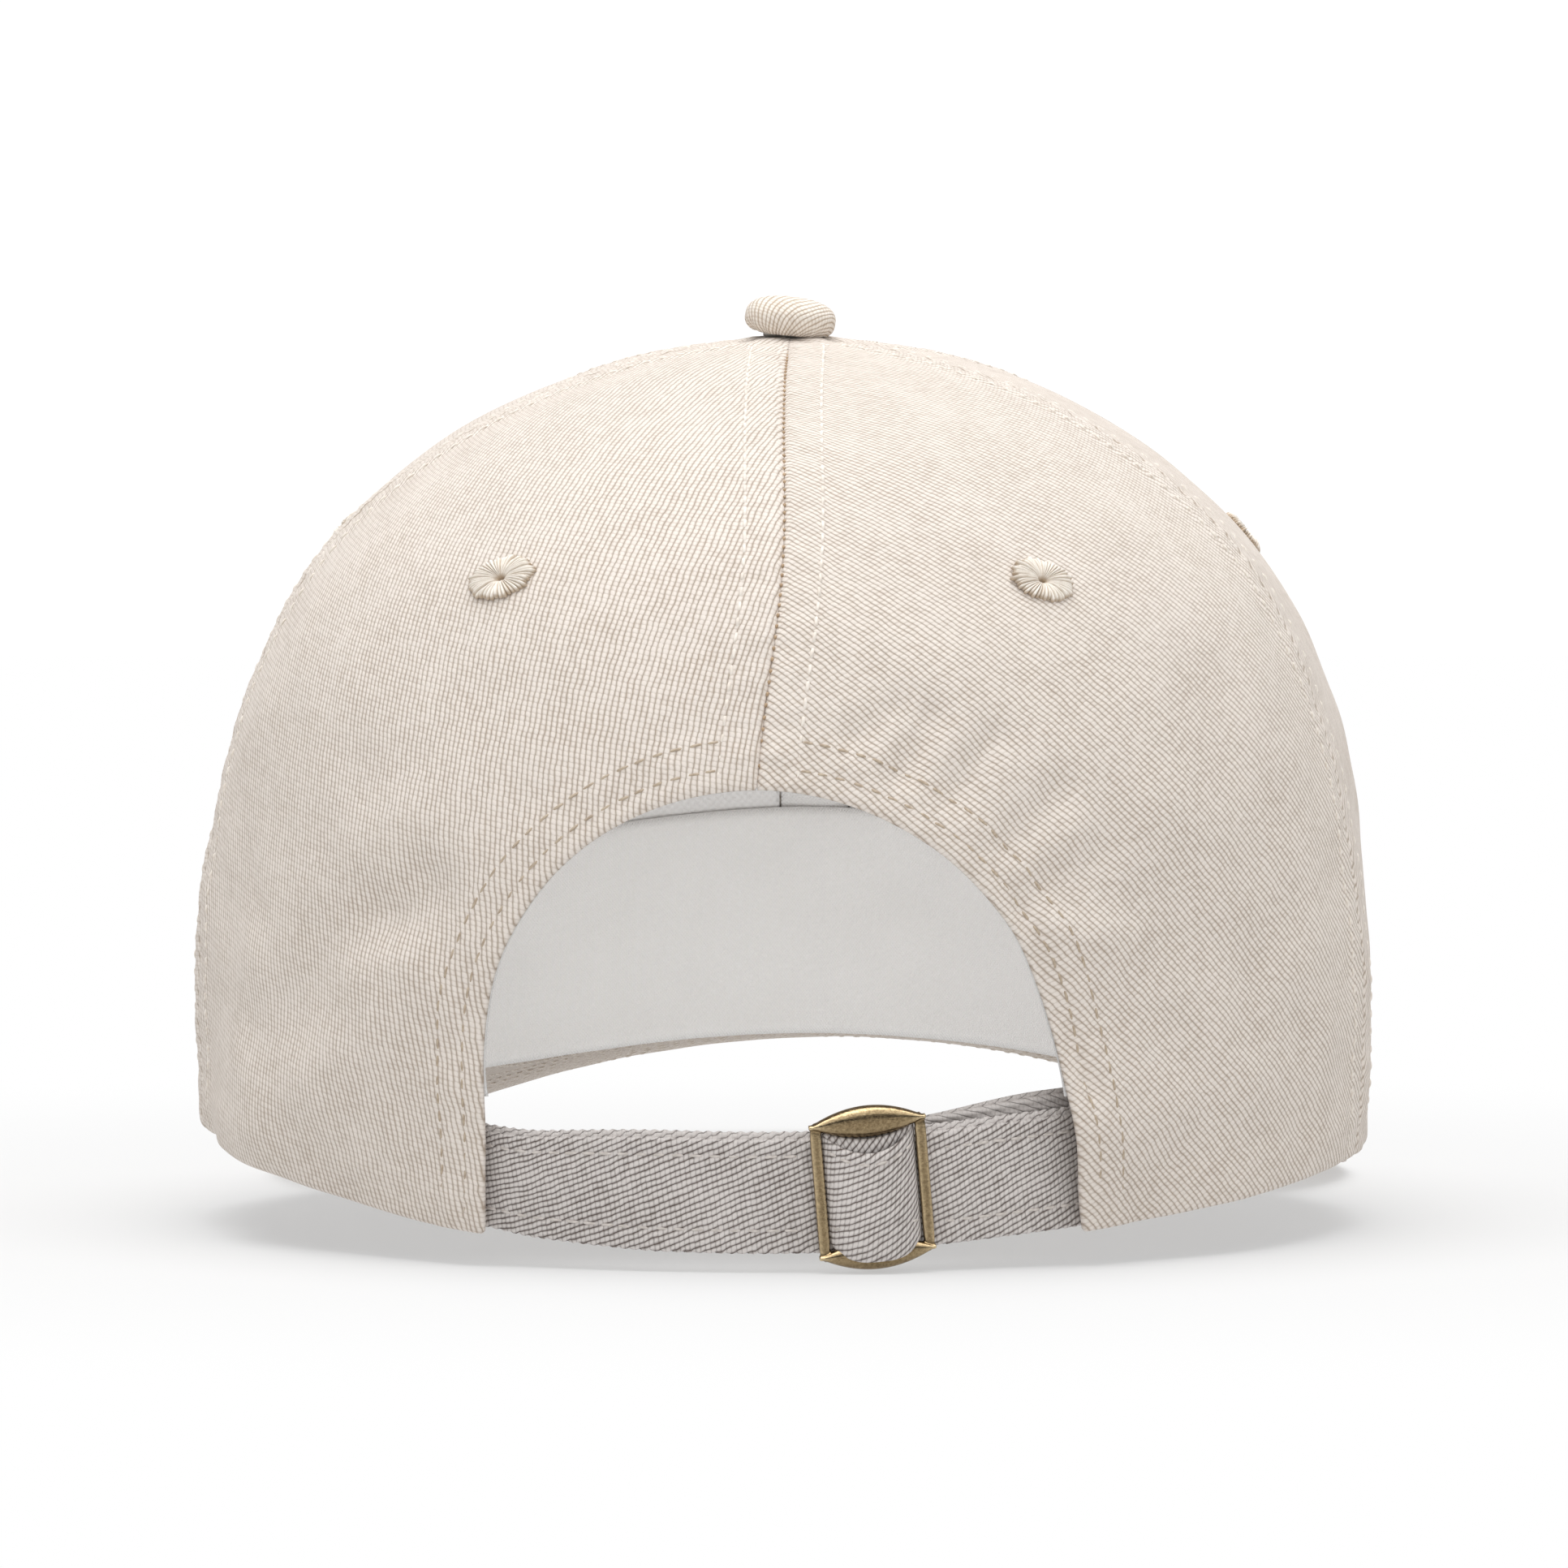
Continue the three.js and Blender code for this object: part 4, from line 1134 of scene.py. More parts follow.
def close_poles(points, faces, around, steps):
    """Fills the small hole at the top of a ring shell, in place of the wall round it."""
    quads = faces[0]
    first = np.arange(around) * steps
    under = around * steps
    at_top = (quads % under % steps == 0).all(1)
    on_edge = at_top & (quads >= under).any(1) & (quads < under).any(1)
    quads = quads[~on_edge]
    top, low = len(points), len(points) + 1
    ring = np.concatenate([first, first[:1]])
    points = np.vstack([points, points[first].mean(0), points[first + under].mean(0)])
    fan = np.stack([ring[1:], ring[:-1], np.full(around, top)], -1)
    fan_low = np.stack([ring[:-1] + under, ring[1:] + under, np.full(around, low)], -1)
    return points, [quads, np.concatenate([fan, fan_low])]


def turned(name, profile, around=64):
    """A pressed steel piece of revolution about the crown's axis, from a closed outline (radius, height)."""
    ring = resample(np.array(profile, float), 0.35)[:-1]
    turn = round_turn(around)[:, None]
    height = np.broadcast_to(ring[:, 1], (around, len(ring)))
    sections = np.stack([ring[:, 0] * np.cos(turn), ring[:, 0] * np.sin(turn), height], -1)
    points, faces = loft(sections, ring=True)
    add_piece(name, "crown", points + BUTTON_SEAT, faces, steel, [name])


def button_steel():
    dome = [(4.0, 0.6), (4.1, 1.3), (4.7, 2.2), (4.2, 3.4), (2.6, 4.1), (0.02, 4.3)]
    pin = [(0.02, -6), (1.0, -6), (1.2, -5.7), (1.2, 0.6)]
    turned("button_core", [*pin, *dome, pin[0]])
    rim = [(7.3, -4.8), (7.5, -4.6), (7.5, -4.3), (7.2, -4.1)]
    turned("button_washer", [(1.6, -4.2), *rim, (1.6, -3.3), (1.6, -4.2)])


# ---- Visor ----


def visor_edge(across, inset):
    """The front edge as one cubic curve; across runs from -1 to 1."""
    corner_y = -FRONT_DEPTH * math.sqrt(1 - (VISOR_CORNER / HALF_WIDTH) ** 2)
    t = np.abs(across)[..., None]
    a, b = np.array([0, -VISOR_TIP + inset]), np.array([60, -VISOR_TIP + inset])
    c, d = np.array([104 - inset, -110]), np.array([VISOR_CORNER - inset, corner_y - 1.2 * inset])
    spot = (1 - t) ** 3 * a + 3 * (1 - t) ** 2 * t * b + 3 * (1 - t) * t**2 * c + t**3 * d
    return np.stack([np.sign(across) * spot[..., 0], spot[..., 1]], -1)


def visor_grid(inset, nu, nv):
    """Points over the visor's plan, from the crown to the front edge, drawn in by an inset."""
    across, v = np.meshgrid(np.linspace(-1, 1, nu), np.linspace(0, 1, nv) ** 0.9, indexing="ij")
    outer = visor_edge(across, inset)
    scale = 1 - 1.3 / HALF_WIDTH
    angle = math.asin(VISOR_CORNER / HALF_WIDTH) * across * (1 - inset / VISOR_CORNER)
    near = -FRONT_DEPTH * scale * np.cos(angle) - inset * 0.5
    inner = np.stack([HALF_WIDTH * scale * np.sin(angle), near], -1)
    return inner + (outer - inner) * v[..., None]


def visor_front():
    return visor_edge(np.linspace(-1, 1, 500), 0)


def visor_cover(name, depth, over):
    """One cover, turned round the board at its front edge. over is +1 for the top, -1 for the underside."""
    spot = visor_grid(0, 300, 76)
    flat = spot.reshape(-1, 2)
    far, along = to_path(flat, visor_front())
    far, along = far.reshape(spot.shape[:2]), along.reshape(spot.shape[:2])
    height = visor_height(spot[..., 0], spot[..., 1]) - depth
    relief = -1.25 * hem_roll(far, 2.0)
    for row in VISOR_ROWS:
        dips = 0.65 + 0.35 * np.cos(2 * math.pi * along / VISOR_STITCH)
        relief = relief - 0.20 * bump(far - row, 0.8) * dips
    where = np.concatenate([spot, height[..., None]], -1)
    relief = relief + 0.10 * ripple(where, 21, 34, 12)
    top = np.concatenate([spot, (height + over * relief)[..., None]], -1)
    low = np.concatenate([spot, (height + over * relief - over * 0.6)[..., None]], -1)
    points, faces = shell(top, low)
    uv = turned_uv(*flat.T, rad(38))
    add_piece(name, "crown", points, faces, panel_cloth, [name], np.vstack([uv, uv]))


def visor_board():
    spot = visor_grid(1.2, 200, 40)
    height = visor_height(spot[..., 0], spot[..., 1])
    far, _ = to_path(spot.reshape(-1, 2), visor_front())
    edge = 0.45 * hem_roll(far.reshape(height.shape) - 1.1, 1.2)
    top = np.concatenate([spot, (height - 1.2 - edge)[..., None]], -1)
    low = np.concatenate([spot, (height - 3.0 + edge)[..., None]], -1)
    points, faces = shell(top, low)
    add_piece("visor_board", "crown", points, faces, board_plastic, ["visor_board"])


def visor_stitches(name, depth, over):
    parts = []
    front = visor_front()
    run = unit(np.gradient(front, axis=0))
    inward = np.stack([-run[:, 1], run[:, 0]], -1)
    if inward[250, 1] < 0:
        inward = -inward
    for number, row in enumerate(VISOR_ROWS):
        line = front + inward * row
        reach = np.hypot(line[:, 0] / HALF_WIDTH, line[:, 1] / FRONT_DEPTH)
        far, _ = to_path(line, front)
        line = line[(reach > 1.03) & (line[:, 1] < -20) & (far > row * 0.97)]
        height = visor_height(line[:, 0], line[:, 1]) - depth - over * 0.02
        path = np.concatenate([line, height[:, None]], -1)
        level = np.ones(len(line))
        slope = np.stack([2 * VISOR_BEND * line[:, 0], -VISOR_SLOPE * level, level], -1)
        parts.append(stitch_row(path, over * unit(slope), pitch=VISOR_STITCH, seed=40 + number))
    thread_piece(name, parts, seam_thread)


# ---- Straps and buckle ----
# The strap's own frame: x and y across its circle's plane, z along its width.


def strap_to_crown(points):
    """From the strap's leaning frame to the crown's."""
    c, s = math.cos(STRAP_LEAN), math.sin(STRAP_LEAN)
    turn = np.array([[c, 0, s], [0, 1, 0], [-s, 0, c]])
    return points @ turn.T + STRAP_CENTRE


def sag(az):
    """The strap hangs lowest between the arch's feet."""
    from_lowest = np.degrees(az) + 6
    share = np.clip(from_lowest / 34, -1, 1)
    dip = np.maximum(0, np.cos(share * RIGHT_ANGLE)) ** 1.3
    return SAG * (smooth(28, 40, np.abs(from_lowest)) - dip)


def taper(az):
    """The strap's share of its full width: it curls a little, most of all at the wearer's left."""
    return 0.95 - 0.14 * smooth(8, 30, np.degrees(az))


def strap_wave(az):
    return 0.08 * np.sin(az * STRAP_RADIUS / 7.7)


def on_strap(az, radius, height):
    return np.stack([radius * np.sin(az), radius * np.cos(az), height + np.zeros_like(az * radius)], -1)


def strap_section():
    """The long strap's section as (out, height): two plies, the back one standing higher."""
    half = STRAP_WIDTH / 2
    z = np.linspace(-half + 0.25, half - 0.5, 50)
    rows = sum(bump(z - row, 0.55) for row in STRAP_ROWS)
    front = np.stack([0.12 * (1 - (z / half) ** 6) - 0.20 * rows, z], -1)
    front_edge = [(-0.08, half - 0.22), (-0.28, half - 0.08), (-0.46, half - 0.2), (-0.52, half - 0.4)]
    back_edge = [(-0.56, 0.1), (-0.58, 0.55), (-0.68, 0.86), (-0.82, 0.88), (-0.96, 0.6), (-1.0, 0.1)]
    back_edge = np.array(back_edge) + (0, half)
    z = np.linspace(half - 0.4, -half + 0.25, 30)
    back = np.stack([np.full(30, -LONG_STRAP), z], -1)
    foot = [(-0.9, -half), (-0.72, -half - 0.1), (-0.52, -half + 0.14), (-0.34, -half - 0.1), (-0.1, -half)]
    return np.vstack([front, front_edge, back_edge, back, foot])


def ribbon_uv(along, section):
    """Weave coordinates for a strap's loft; the last two are for the middles of its ends."""
    along, up = np.broadcast_arrays(along[:, None], section[None, :, 1])
    uv = turned_uv(along, up, STRAP_RIBS)
    return np.vstack([uv, uv[:2]])


def strap_piece(name, body, points, faces, along, section, pale):
    """A strap from its loft. pale is the painted highlight at each point of the section, along its upper
    edge.
    """
    points = strap_to_crown(points)
    uv = ribbon_uv(along, section)
    piece = add_piece(name, body, points, faces, strap_cloth, [name], uv)
    store(piece, "selvedge", [*np.tile(pale, len(along)), 0, 0])


def long_strap():
    section = strap_section()
    az = np.radians(np.arange(LONG_SPAN[0], LONG_SPAN[1] + 0.1, 0.25))
    along = az * STRAP_RADIUS
    wave = 0.07 * np.sin(along / 5.1) + 0.05 * np.sin(along / 2.3 + 1)
    radius = STRAP_RADIUS + section[None, :, 0] + wave[:, None]
    on_edge = smooth(STRAP_WIDTH / 2 - 0.6, STRAP_WIDTH / 2, np.abs(section[:, 1]))[None, :]
    twist = 0.13 * np.sin(along[:, None] * 2 * math.pi / 1.5 + section[None, :, 0] * 5) * on_edge
    height = section[None, :, 1] * taper(az)[:, None] + sag(az)[:, None]
    height = height + strap_wave(az)[:, None] + twist
    points, faces = loft(on_strap(az[:, None], radius + 0.5 * twist, height))
    # Painted highlight along the strap's upper edge.
    pale = smooth(STRAP_WIDTH / 2 - 0.5, STRAP_WIDTH / 2 - 0.2, section[:, 1])
    strap_piece("long_strap", "crown", points, faces, -along, section, pale)


def strap_stitches():
    """Two rows along the long strap, with a gap under the buckle."""
    parts = []
    clear = rad(7.2)
    start, stop = rad(LONG_SPAN[0]), rad(LONG_SPAN[1])
    for number, row in enumerate(STRAP_ROWS):
        for first, last in ((start, BUCKLE_AZIMUTH - clear), (BUCKLE_AZIMUTH + clear, stop)):
            az = np.linspace(first, last, 300)
            height = row * taper(az) + sag(az) + strap_wave(az)
            path = on_strap(az, STRAP_RADIUS - 0.02, height)
            out = on_strap(az, 1.0, 0.0)
            made, faces = stitch_row(path, out, length=0.9, radius=0.2, seed=60 + number)
            parts.append((strap_to_crown(made), faces))
    thread_piece("strap_stitches", parts, strap_thread)


def short_strap():
    """A strap folded round the centre bar: out along the front, round the bar and back."""
    ply, half = 0.62, STRAP_WIDTH / 2
    bar = STRAP_RADIUS - BAR_BEHIND
    bar_az = BUCKLE_AZIMUTH
    centre = np.array([bar * math.sin(bar_az), bar * math.cos(bar_az)])
    away = np.array([-math.cos(bar_az), math.sin(bar_az)])
    out = np.array([math.sin(bar_az), math.cos(bar_az)])
    az = np.radians(np.linspace(SHORT_END, -12 - 1.6, 90))

    def side(radius):
        return np.stack([radius * np.sin(az), radius * np.cos(az)], -1)

    turn = np.linspace(RIGHT_ANGLE * 0.85, -RIGHT_ANGLE * 0.85, 26)[:, None]
    loop = centre + 1.22 * (np.sin(turn) * out - np.cos(turn) * away)
    path = np.vstack([side(bar + 0.42), loop, side(bar - 0.42)[::-1]])
    path = resample(path, 0.7)
    run = unit(np.gradient(path, axis=0))
    normal = np.stack([-run[:, 1], run[:, 0]], -1)
    if normal[0] @ path[0] < 0:
        normal = -normal
    z = np.linspace(-half, half, 84)
    rows = sum(bump(z - row, 0.55) for row in STRAP_ROWS)
    edge = hem_roll(half - np.abs(z), 0.4)
    cords = 0.20 * np.abs(np.sin((half - z) * math.pi / 1.15)) * smooth(half - 3.6, half - 3.2, z)
    front = ply / 2 - 0.22 * edge - 0.10 * rows + cords
    section = np.concatenate([np.stack([front, z], -1), np.stack([-front, z], -1)[::-1]])
    near = bump(np.linalg.norm(path - centre, axis=1), 16)
    shear = near[:, None] * np.tan(BUCKLE_LEAN) * section[None, :, 1]
    flat = path[:, None, :] + normal[:, None, :] * section[None, :, :1] - away * shear[..., None]
    path_az = np.degrees(np.arctan2(path[:, 0], path[:, 1]))
    on_way_back = np.arange(len(path)) > len(path) / 2
    fan = 1.3 * smooth(-15, -33, path_az) + 0.5 * on_way_back * smooth(-14, -30, path_az)
    lift = SHORT_LIFT + sag(np.radians(path_az)) + fan + 0.1 * np.sin(along_path(path) / 6)
    height = section[None, :, 1] + lift[:, None]
    points, faces = loft(np.concatenate([flat, height[..., None]], -1))
    # Painted highlight along the upper edge, over the cords.
    pale = 1.25 * smooth(half - 3.7, half - 3.2, section[:, 1])
    strap_piece("short_strap", "slider", points, faces, along_path(path), section, pale)


def buckle_to_crown(points):
    """From the buckle's frame (x to the wearer's left, y out, z up the strap's width) to the crown's."""
    c, s = math.cos(BUCKLE_LEAN), math.sin(BUCKLE_LEAN)
    leaned = points @ np.array([[c, 0, s], [0, 1, 0], [-s, 0, c]]).T
    c, s = math.cos(BUCKLE_AZIMUTH), math.sin(BUCKLE_AZIMUTH)
    turned_round = leaned @ np.array([[c, s, 0], [-s, c, 0], [0, 0, 1]]).T
    spot = STRAP_RADIUS * np.array([s, c, 0]) - np.array([0, 0, BUCKLE_DROP])
    return strap_to_crown(turned_round + spot)


def rounded_bar(length, half_a, half_b, centre, axis, power=4, around=20, rings=24):
    """A bar with a superellipse section along x (0), y (1) or z (2)."""
    t = np.linspace(-1, 1, rings)
    end = (1 - np.abs(t) ** 10) ** 0.5 * 0.95 + 0.05
    turn = round_turn(around)
    a = np.sign(np.cos(turn)) * np.abs(np.cos(turn)) ** (2 / power) * half_a
    b = np.sign(np.sin(turn)) * np.abs(np.sin(turn)) ** (2 / power) * half_b
    sections = np.zeros((rings, around, 3))
    others = [k for k in range(3) if k != axis]
    sections[..., axis] = (t * length / 2)[:, None]
    sections[..., others[0]] = a * end[:, None]
    sections[..., others[1]] = b * end[:, None]
    return loft(sections + np.array(centre))


def end_plate(side):
    """A pointed oval, domed to the front, over the strap's edge."""
    x = np.linspace(-1, 1, 60) * (BUCKLE_HALF_WIDTH + 0.1)
    share = 1 - (x / BUCKLE_HALF_WIDTH / 1.02) ** 2
    outer = BUCKLE_HALF_HEIGHT - 2.4 + 2.3 * share
    inner = BUCKLE_HALF_HEIGHT - 2.4 - 2.1 * share
    middle, half = (outer + inner) / 2, np.maximum((outer - inner) / 2, 0.35)
    turn = round_turn(32)
    z = np.sign(np.cos(turn)) * np.abs(np.cos(turn)) ** 0.8
    y = np.sin(turn)
    y = np.where(y > 0, y, np.sign(y) * np.abs(y) ** 0.5 * 0.45)
    thick = 0.55 + 1.0 * np.maximum(share, 0) ** 0.6
    across = np.broadcast_to(x[:, None], (len(x), len(turn)))
    out = 0.95 + thick[:, None] * y
    up = side * (middle[:, None] + half[:, None] * z)
    return loft(np.stack([across, out, up], -1))


def buckle():
    """Two end plates, two side bars, and a centre bar behind them on a link at each end."""
    side_x = BUCKLE_HALF_WIDTH - 0.75
    parts = [end_plate(1), end_plate(-1)]
    for side in (1, -1):
        parts.append(rounded_bar(19.4, 0.78, 0.62, (side * side_x, 0.92, 0), 2))
        link_y = (0.3 - BAR_BEHIND) / 2
        parts.append(rounded_bar(1.5 + BAR_BEHIND, 1.9, 0.6, (0, link_y, side * 9.9), 1))
    parts.append(rounded_bar(20.2, 0.6, 0.6, (0, -BAR_BEHIND, 0), 2, power=2))
    points, faces = joined(parts)
    points = buckle_to_crown(points)
    made = add_piece("buckle_frame", "slider", points, faces, brass, ["buckle_frame"])
    fuse(made, 0.13)
    mark_wear(made)


def fuse(made, voxel):
    """Joins overlapping closed shapes into one casting and softens where they meet."""
    remesh = made.modifiers.new("fuse", "REMESH")
    remesh.mode = "VOXEL"
    remesh.voxel_size = voxel * MM
    remesh.use_smooth_shade = True
    soften = made.modifiers.new("soften", "SMOOTH")
    soften.factor = 0.5
    soften.iterations = 5
    graph = bpy.context.evaluated_depsgraph_get()
    shape = bpy.data.meshes.new_from_object(made.evaluated_get(graph))
    material = made.data.materials[0]
    made.modifiers.clear()
    made.data = shape
    shape.materials.clear()
    shape.materials.append(material)


def mark_wear(made):
    """Stores how far each point stands out from its neighbours, so that edges can be rubbed bright."""
    mesh = made.data

    def read(items, key, kind, width):
        values = np.empty(len(items) * width, kind)
        items.foreach_get(key, values)
        return values.reshape(-1, width)

    spots = read(mesh.vertices, "co", np.float32, 3).astype(float)
    normals = read(mesh.vertices, "normal", np.float32, 3)
    pairs = read(mesh.edges, "vertices", np.int32, 2)
    both_ways = ((pairs[:, 0], pairs[:, 1]), (pairs[:, 1], pairs[:, 0]))
    bend, degree = np.zeros(len(spots)), np.zeros(len(spots))
    for a, b in both_ways:
        run = unit(spots[a] - spots[b])
        np.add.at(bend, a, (run * normals[a]).sum(1))
        np.add.at(degree, a, 1)
    bend /= degree
    for _ in range(6):
        total, near = bend.copy(), np.ones(len(spots))
        for a, b in both_ways:
            np.add.at(total, a, bend[b])
            np.add.at(near, a, 1)
        bend = total / near
    store(made, "wear", np.clip(bend * 7, 0, 1))


FOLD_HALF_WIDTH = 6.42
FOLD_RISE = 3.0  # how far the fold stands out over the centre bar
FOLD_ROWS = ((6.0, 2.6), (-5.05, 0.0))  # height of each row of stitches, and its dip in the middle


def fold_ply(back_by, top, dip, low, uv_turn):
    """One ply of the raised stretch: a bulge between the side bars, dropping over the lower plate."""
    nu, nv = 60, 72
    u, v = unit_grid(nu, nv, -1)
    crest = 1 - np.abs(u) ** 3
    top_edge = top - dip * (1 - u * u)
    low_edge = low + 3.1 * crest**0.8
    z = np.where(v > 0, v * top_edge, v * low_edge)
    rows = sum(bump(z - row + row_dip * (1 - u * u), 0.5) for row, row_dip in FOLD_ROWS)
    lip = hem_roll((1 - np.abs(v)) * np.where(v > 0, top_edge, low_edge), 1.1)
    out = 0.5 + (FOLD_RISE - back_by) * crest**0.75 - (0.5 * lip + 0.16 * rows) * np.minimum(1, crest * 3)
    out = out + (0.07 * np.sin(v * 9 + u * 3) + 0.25 * bump(v + 0.6, 0.5)) * crest
    x = u * FOLD_HALF_WIDTH
    outer = np.stack([x, out, z], -1)
    inner = np.stack([x * 0.97, np.maximum(out - 0.55, 0.3 * out), z], -1)
    along = along_path(outer[:, nv // 2])
    across = np.broadcast_to(-(along - along[nu // 2])[:, None], (nu, nv))
    up = z - 0.035 * (across + 4) ** 2
    uv = turned_uv(across, up, uv_turn)
    points, faces = shell(outer, inner)
    return points, faces, np.vstack([uv, uv])


def strap_fold():
    """The long strap raised over the centre bar in the buckle's window, with a second ply behind it."""
    front = fold_ply(0.0, 7.9, 3.0, 6.9, rad(-82))
    behind = fold_ply(1.5, 8.3, 1.5, 6.0, rad(-50))
    points, faces = joined([front[:2], behind[:2]])
    uv = np.vstack([front[2], behind[2]])
    points = buckle_to_crown(points)
    add_piece("strap_fold", "slider", points, faces, strap_cloth, ["strap_fold"], uv)
    parts = []
    for number, (row, dip) in enumerate(FOLD_ROWS):
        t = np.linspace(-0.96, 0.96, 120)
        y = 0.5 + FOLD_RISE * (1 - np.abs(t) ** 3) ** 0.75 - 0.10
        path = np.stack([t * FOLD_HALF_WIDTH, y, row - dip * (1 - t * t)], -1)
        run = unit(np.gradient(path, axis=0))
        out_way = np.stack([-run[:, 1], run[:, 0], np.zeros(120)], -1)
        out_way *= np.sign(out_way[60, 1])
        made, some = stitch_row(path, out_way, pitch=2.3, length=0.9, radius=0.2, seed=70 + number)
        parts.append((buckle_to_crown(made), some))
    thread_piece("fold_stitches", parts, strap_thread, body="slider")


# ---- Build ----

SPACING = 1.1
PANELS = (
    ("rear", 0, REAR_SEAM, (rad(10), rad(47))),
    ("side", REAR_SEAM, FRONT_SEAM, (rad(22), rad(-35))),
    ("front", FRONT_SEAM, math.pi, (rad(-30), rad(30))),
)
for number, (row, near, far_side, ribs) in enumerate(PANELS):
    for side, word, rib in ((1, "left", ribs[0]), (-1, "right", ribs[1])):
        low, high = sorted((side * near, side * far_side))
        hole = side * rad(EYELET_AZIMUTHS[number])
        panel(f"{row}_panel_{word}", low, high, side if row == "rear" else 0, hole, rib, SPACING)
        eyelet(f"{row}_eyelet_{word}", hole, 10 + number * 2 + side)

rear_span, side_span, front_span = REAR_SEAM, FRONT_SEAM - REAR_SEAM, math.pi - FRONT_SEAM
seam_stitches("rear_seam_stitches", 0.0, (rear_span, rear_span), ARCH_TOP + 0.8, 1)
seam_stitches("front_seam_stitches", math.pi, (front_span, front_span), VISOR_RISE + 0.8, 2)
for side, word in ((1, "left"), (-1, "right")):
    spans = (side_span, rear_span)[::side]
    foot = float(rim_height(side * REAR_SEAM)) + 1
    seam_stitches(f"rear_side_stitches_{word}", side * REAR_SEAM, spans, foot, 3 + side)
    spans = (front_span, side_span)[::side]
    foot = float(rim_height(FRONT_SEAM)) + 0.8
    seam_stitches(f"front_side_stitches_{word}", side * FRONT_SEAM, spans, foot, 5 + side)
# The arch's thread is darkened with painted shade.
arch_stitches = [arch_row(side, row, 11 + side) for side in (1, -1) for row in ARCH_ROWS]
thread_piece("arch_stitches", arch_stitches, tan_thread)

seam_tape("rear_seam_tape", 0.0, ARCH_TOP + 8.6)
seam_tape("front_seam_tape", math.pi, BAND_HEIGHT + VISOR_RISE - 2)
for side, word in ((1, "left"), (-1, "right")):
    seam_tape(f"rear_side_seam_tape_{word}", side * REAR_SEAM, float(rim_height(side * REAR_SEAM)) + 3)
    seam_tape(f"front_side_seam_tape_{word}", side * FRONT_SEAM, 3.0)
    buckram(f"front_buckram_{word}", *sorted((side * FRONT_SEAM, side * math.pi)))
sweatband()
arch_binding()
button()
button_steel()

visor_cover("visor_top_cover", 0.3, 1)
visor_cover("visor_under_cover", 3.9, -1)
visor_board()
visor_stitches("visor_top_stitches", 0.3, 1)
visor_stitches("visor_under_stitches", 3.9, -1)

long_strap()
strap_stitches()
short_strap()
buckle()
strap_fold()


# ---- Studio ----


FLOOR_GLOW = (0.42, 1.0)  # the floor's share of plain white, near the cap and far off
FLOOR_FADE = (0.10, 0.30)  # distances in metres between which the one turns into the other


def floor_material():
    """Matt white near the cap, fading to the even white of the surround."""
    cloth = Cloth("studio_floor")
    spot = cloth.place(1.0)
    patch = cloth.noise(spot, 1.5, 3.0)
    color = cloth.mix(patch, (0.64, 0.64, 0.64), (0.66, 0.66, 0.66))
    reach = cloth.node("ShaderNodeVectorMath", 1, {"operation": "LENGTH"}, Vector=spot)
    fade = cloth.ramp(reach, FLOOR_FADE, FLOOR_GLOW, "SMOOTHSTEP")
    glow = cloth.node("ShaderNodeEmission", Color=(1.0, 1.0, 1.0), Strength=1.0)
    mixed = cloth.node("ShaderNodeMixShader", Fac=fade)
    cloth.put(mixed.node.inputs[1], cloth.shader.outputs[0])
    cloth.put(mixed.node.inputs[2], glow)
    cloth.put(cloth.tree.nodes["Material Output"].inputs["Surface"], mixed)
    return cloth.surface(color=color, roughness=0.9, specular=0.1)


def floor():
    """A wide round floor, with more rings near the cap."""
    turn = round_turn(96)
    rings = (0.4, 1.0, 2.5, 6.0)
    points = [(0.0, 0.0, 0.0)] + [(r * math.cos(a), r * math.sin(a), 0.0) for r in rings for a in turn]
    count = len(turn)
    after = [(k + 1) % count for k in range(count)]
    faces = [(0, 1 + k, 1 + after[k]) for k in range(count)]
    for ring in range(len(rings) - 1):
        first = 1 + ring * count
        outer = first + count
        faces += [(first + k, outer + k, outer + after[k], first + after[k]) for k in range(count)]
    mesh = bpy.data.meshes.new("floor")
    mesh.from_pydata(points, [], faces)
    mesh.materials.append(floor_material())
    made = bpy.data.objects.new("floor", mesh)
    bpy.context.scene.collection.objects.link(made)
    made.location.z = -0.0004


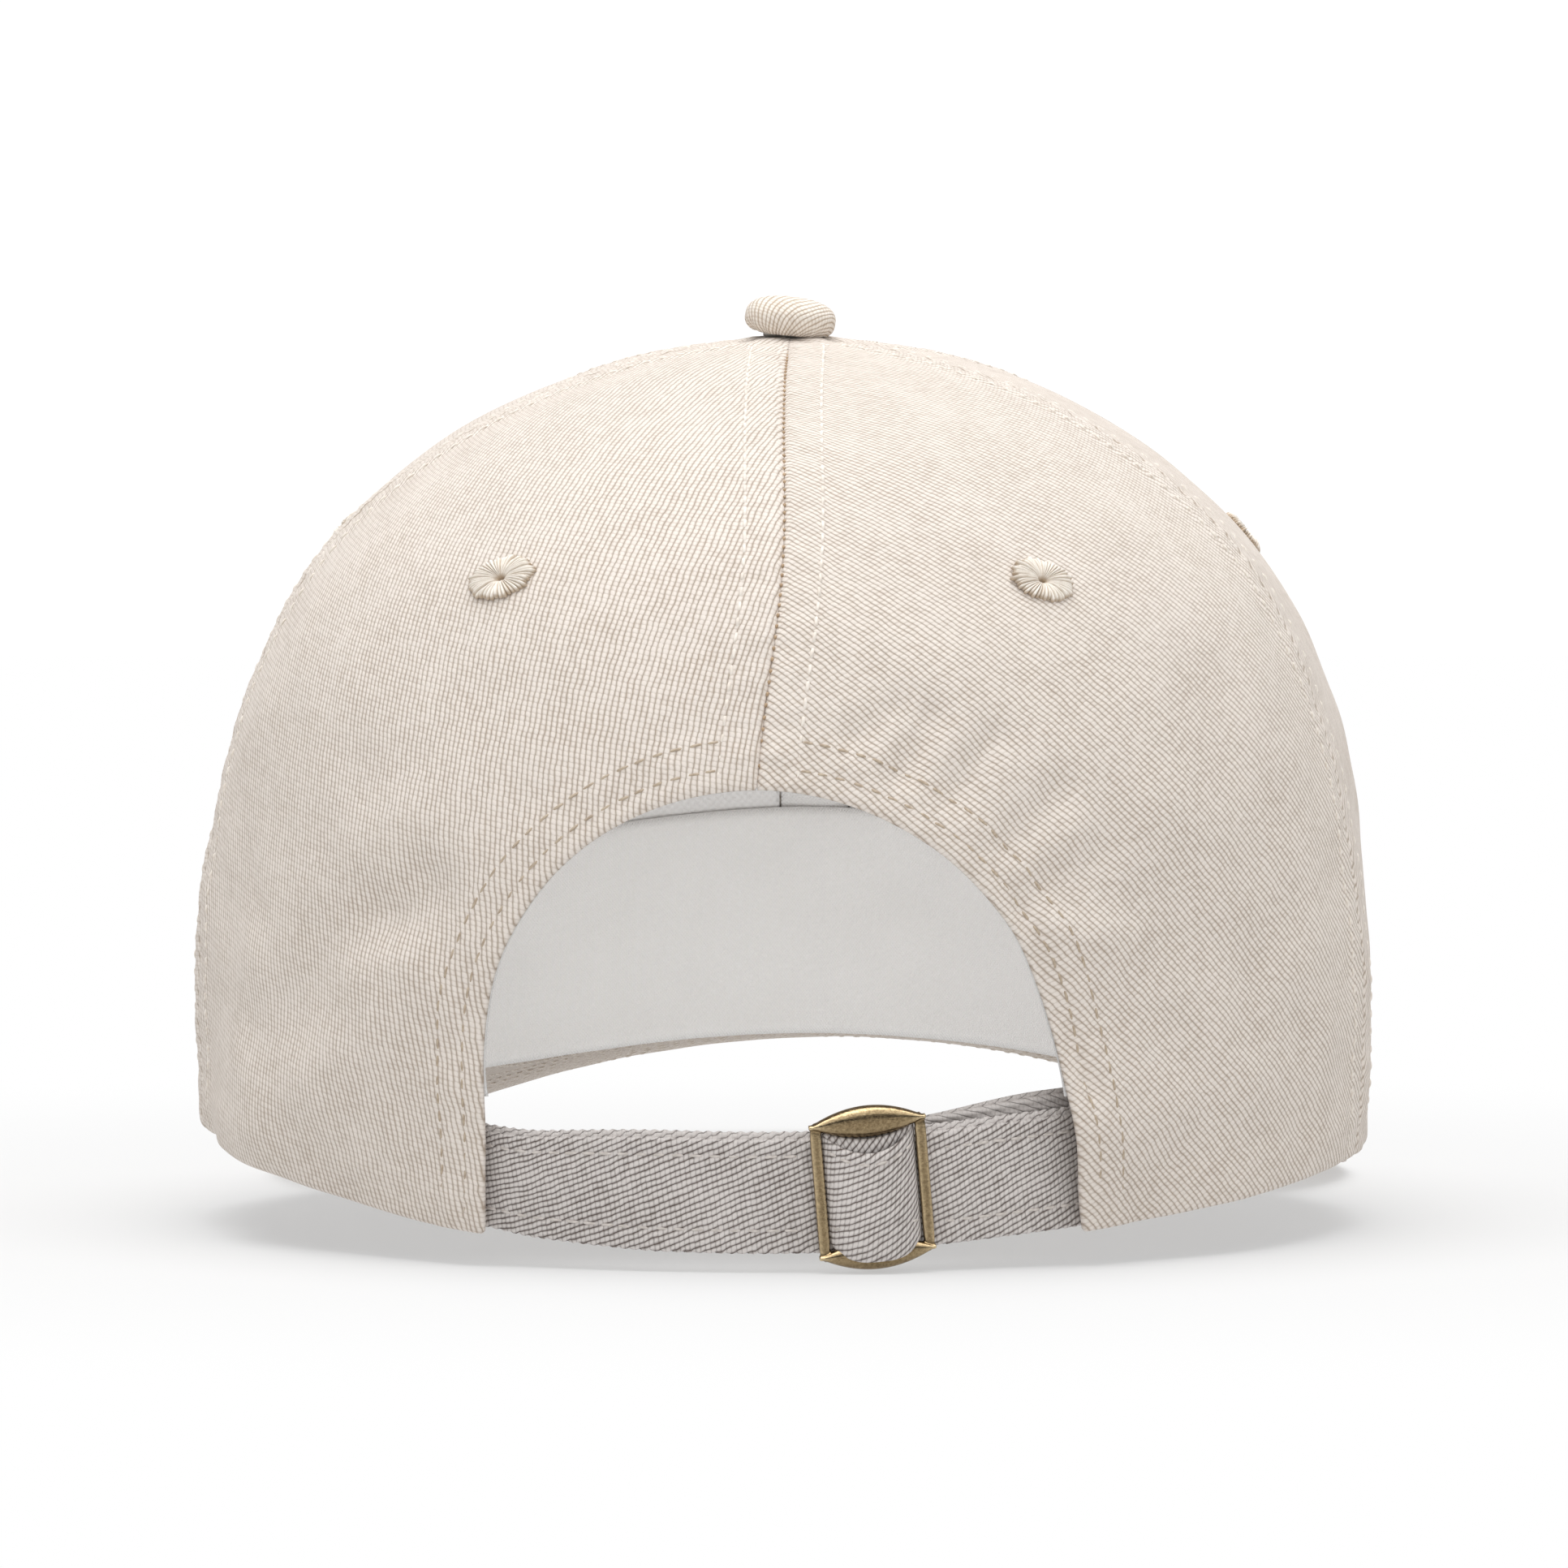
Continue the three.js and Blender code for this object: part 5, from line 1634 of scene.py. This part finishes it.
def surround():
    """An even white surround. Polished metal sees a dark band round its horizon, as between softboxes."""
    world = bpy.data.worlds.new("surround")
    world.use_nodes = True
    nodes = Nodes(world.node_tree)
    path = nodes.node("ShaderNodeLightPath").node
    spot = nodes.node("ShaderNodeTexCoord", "Generated")
    parts = nodes.node("ShaderNodeSeparateXYZ", Vector=spot).node
    strength = nodes.ramp(path.outputs["Is Camera Ray"], (0, 1), (0.55, 1.05))
    band = nodes.ramp(parts.outputs["Z"], (0.22, 0.62), (0.10, 3.6), "SMOOTHSTEP")
    glossy = nodes.node("ShaderNodeMix").node
    for key, value in ((0, path.outputs["Is Glossy Ray"]), (2, 1.0), (3, band)):
        nodes.put(glossy.inputs[key], value)
    background = nodes.tree.nodes["Background"]
    nodes.put(background.inputs["Strength"], nodes.math("MULTIPLY", glossy.outputs[0], strength))
    nodes.put(background.inputs["Color"], (1.0, 1.0, 1.0))
    bpy.context.scene.world = world


def lamp(name, place, target, size, power):
    light = bpy.data.lights.new(name, "AREA")
    light.size = size
    light.energy = power
    made = bpy.data.objects.new(name, light)
    made.location = place
    made.visible_camera = False
    made.visible_glossy = name == "overhead"
    made.rotation_euler = (Vector(target) - Vector(place)).to_track_quat("-Z", "Y").to_euler()
    bpy.context.scene.collection.objects.link(made)
    return made


def lining_only():
    """The pieces that the small lamp inside the cap lights."""
    lit = bpy.data.collections.new("lining_only")
    for piece in bpy.context.scene.objects:
        if any(word in piece.name for word in ("sweatband", "tape", "buckram", "panel")):
            lit.objects.link(piece)
    return lit


def lights():
    """One large soft light overhead, a weak one behind the camera, and a small one for the lining."""
    middle = (0, 0.04, 0.06)
    lamp("overhead", (0.05, 0.10, 1.60), middle, 1.6, 28.0)
    lamp("camera_fill", (-0.35, 1.9, 0.35), middle, 1.2, 5.0)
    inside_lamp = lamp("inside", (0.0, 0.020, 0.030), (0, -0.06, 0.045), 0.03, 0.020)
    inside_lamp.light_linking.receiver_collection = lining_only()


def camera():
    """Level with the cap and behind it, from far off, like a catalogue picture."""
    distance, frame_width, sensor = 1.2, 0.2305, 36.0
    azimuth, elevation = rad(182.8), rad(1.7)
    target = Vector((0.0, 0.0408, 0.0636))
    level = math.cos(elevation)
    way = Vector((math.sin(azimuth) * level, -math.cos(azimuth) * level, math.sin(elevation)))
    data = bpy.data.cameras.new("camera")
    data.sensor_width = sensor
    data.lens = sensor * distance / frame_width
    made = bpy.data.objects.new("camera", data)
    made.location = target + way * distance
    made.rotation_euler = (-way).to_track_quat("-Z", "Y").to_euler()
    bpy.context.scene.collection.objects.link(made)
    bpy.context.scene.camera = made
    bpy.context.scene.view_settings.view_transform = "Standard"


floor()
surround()
lights()
camera()
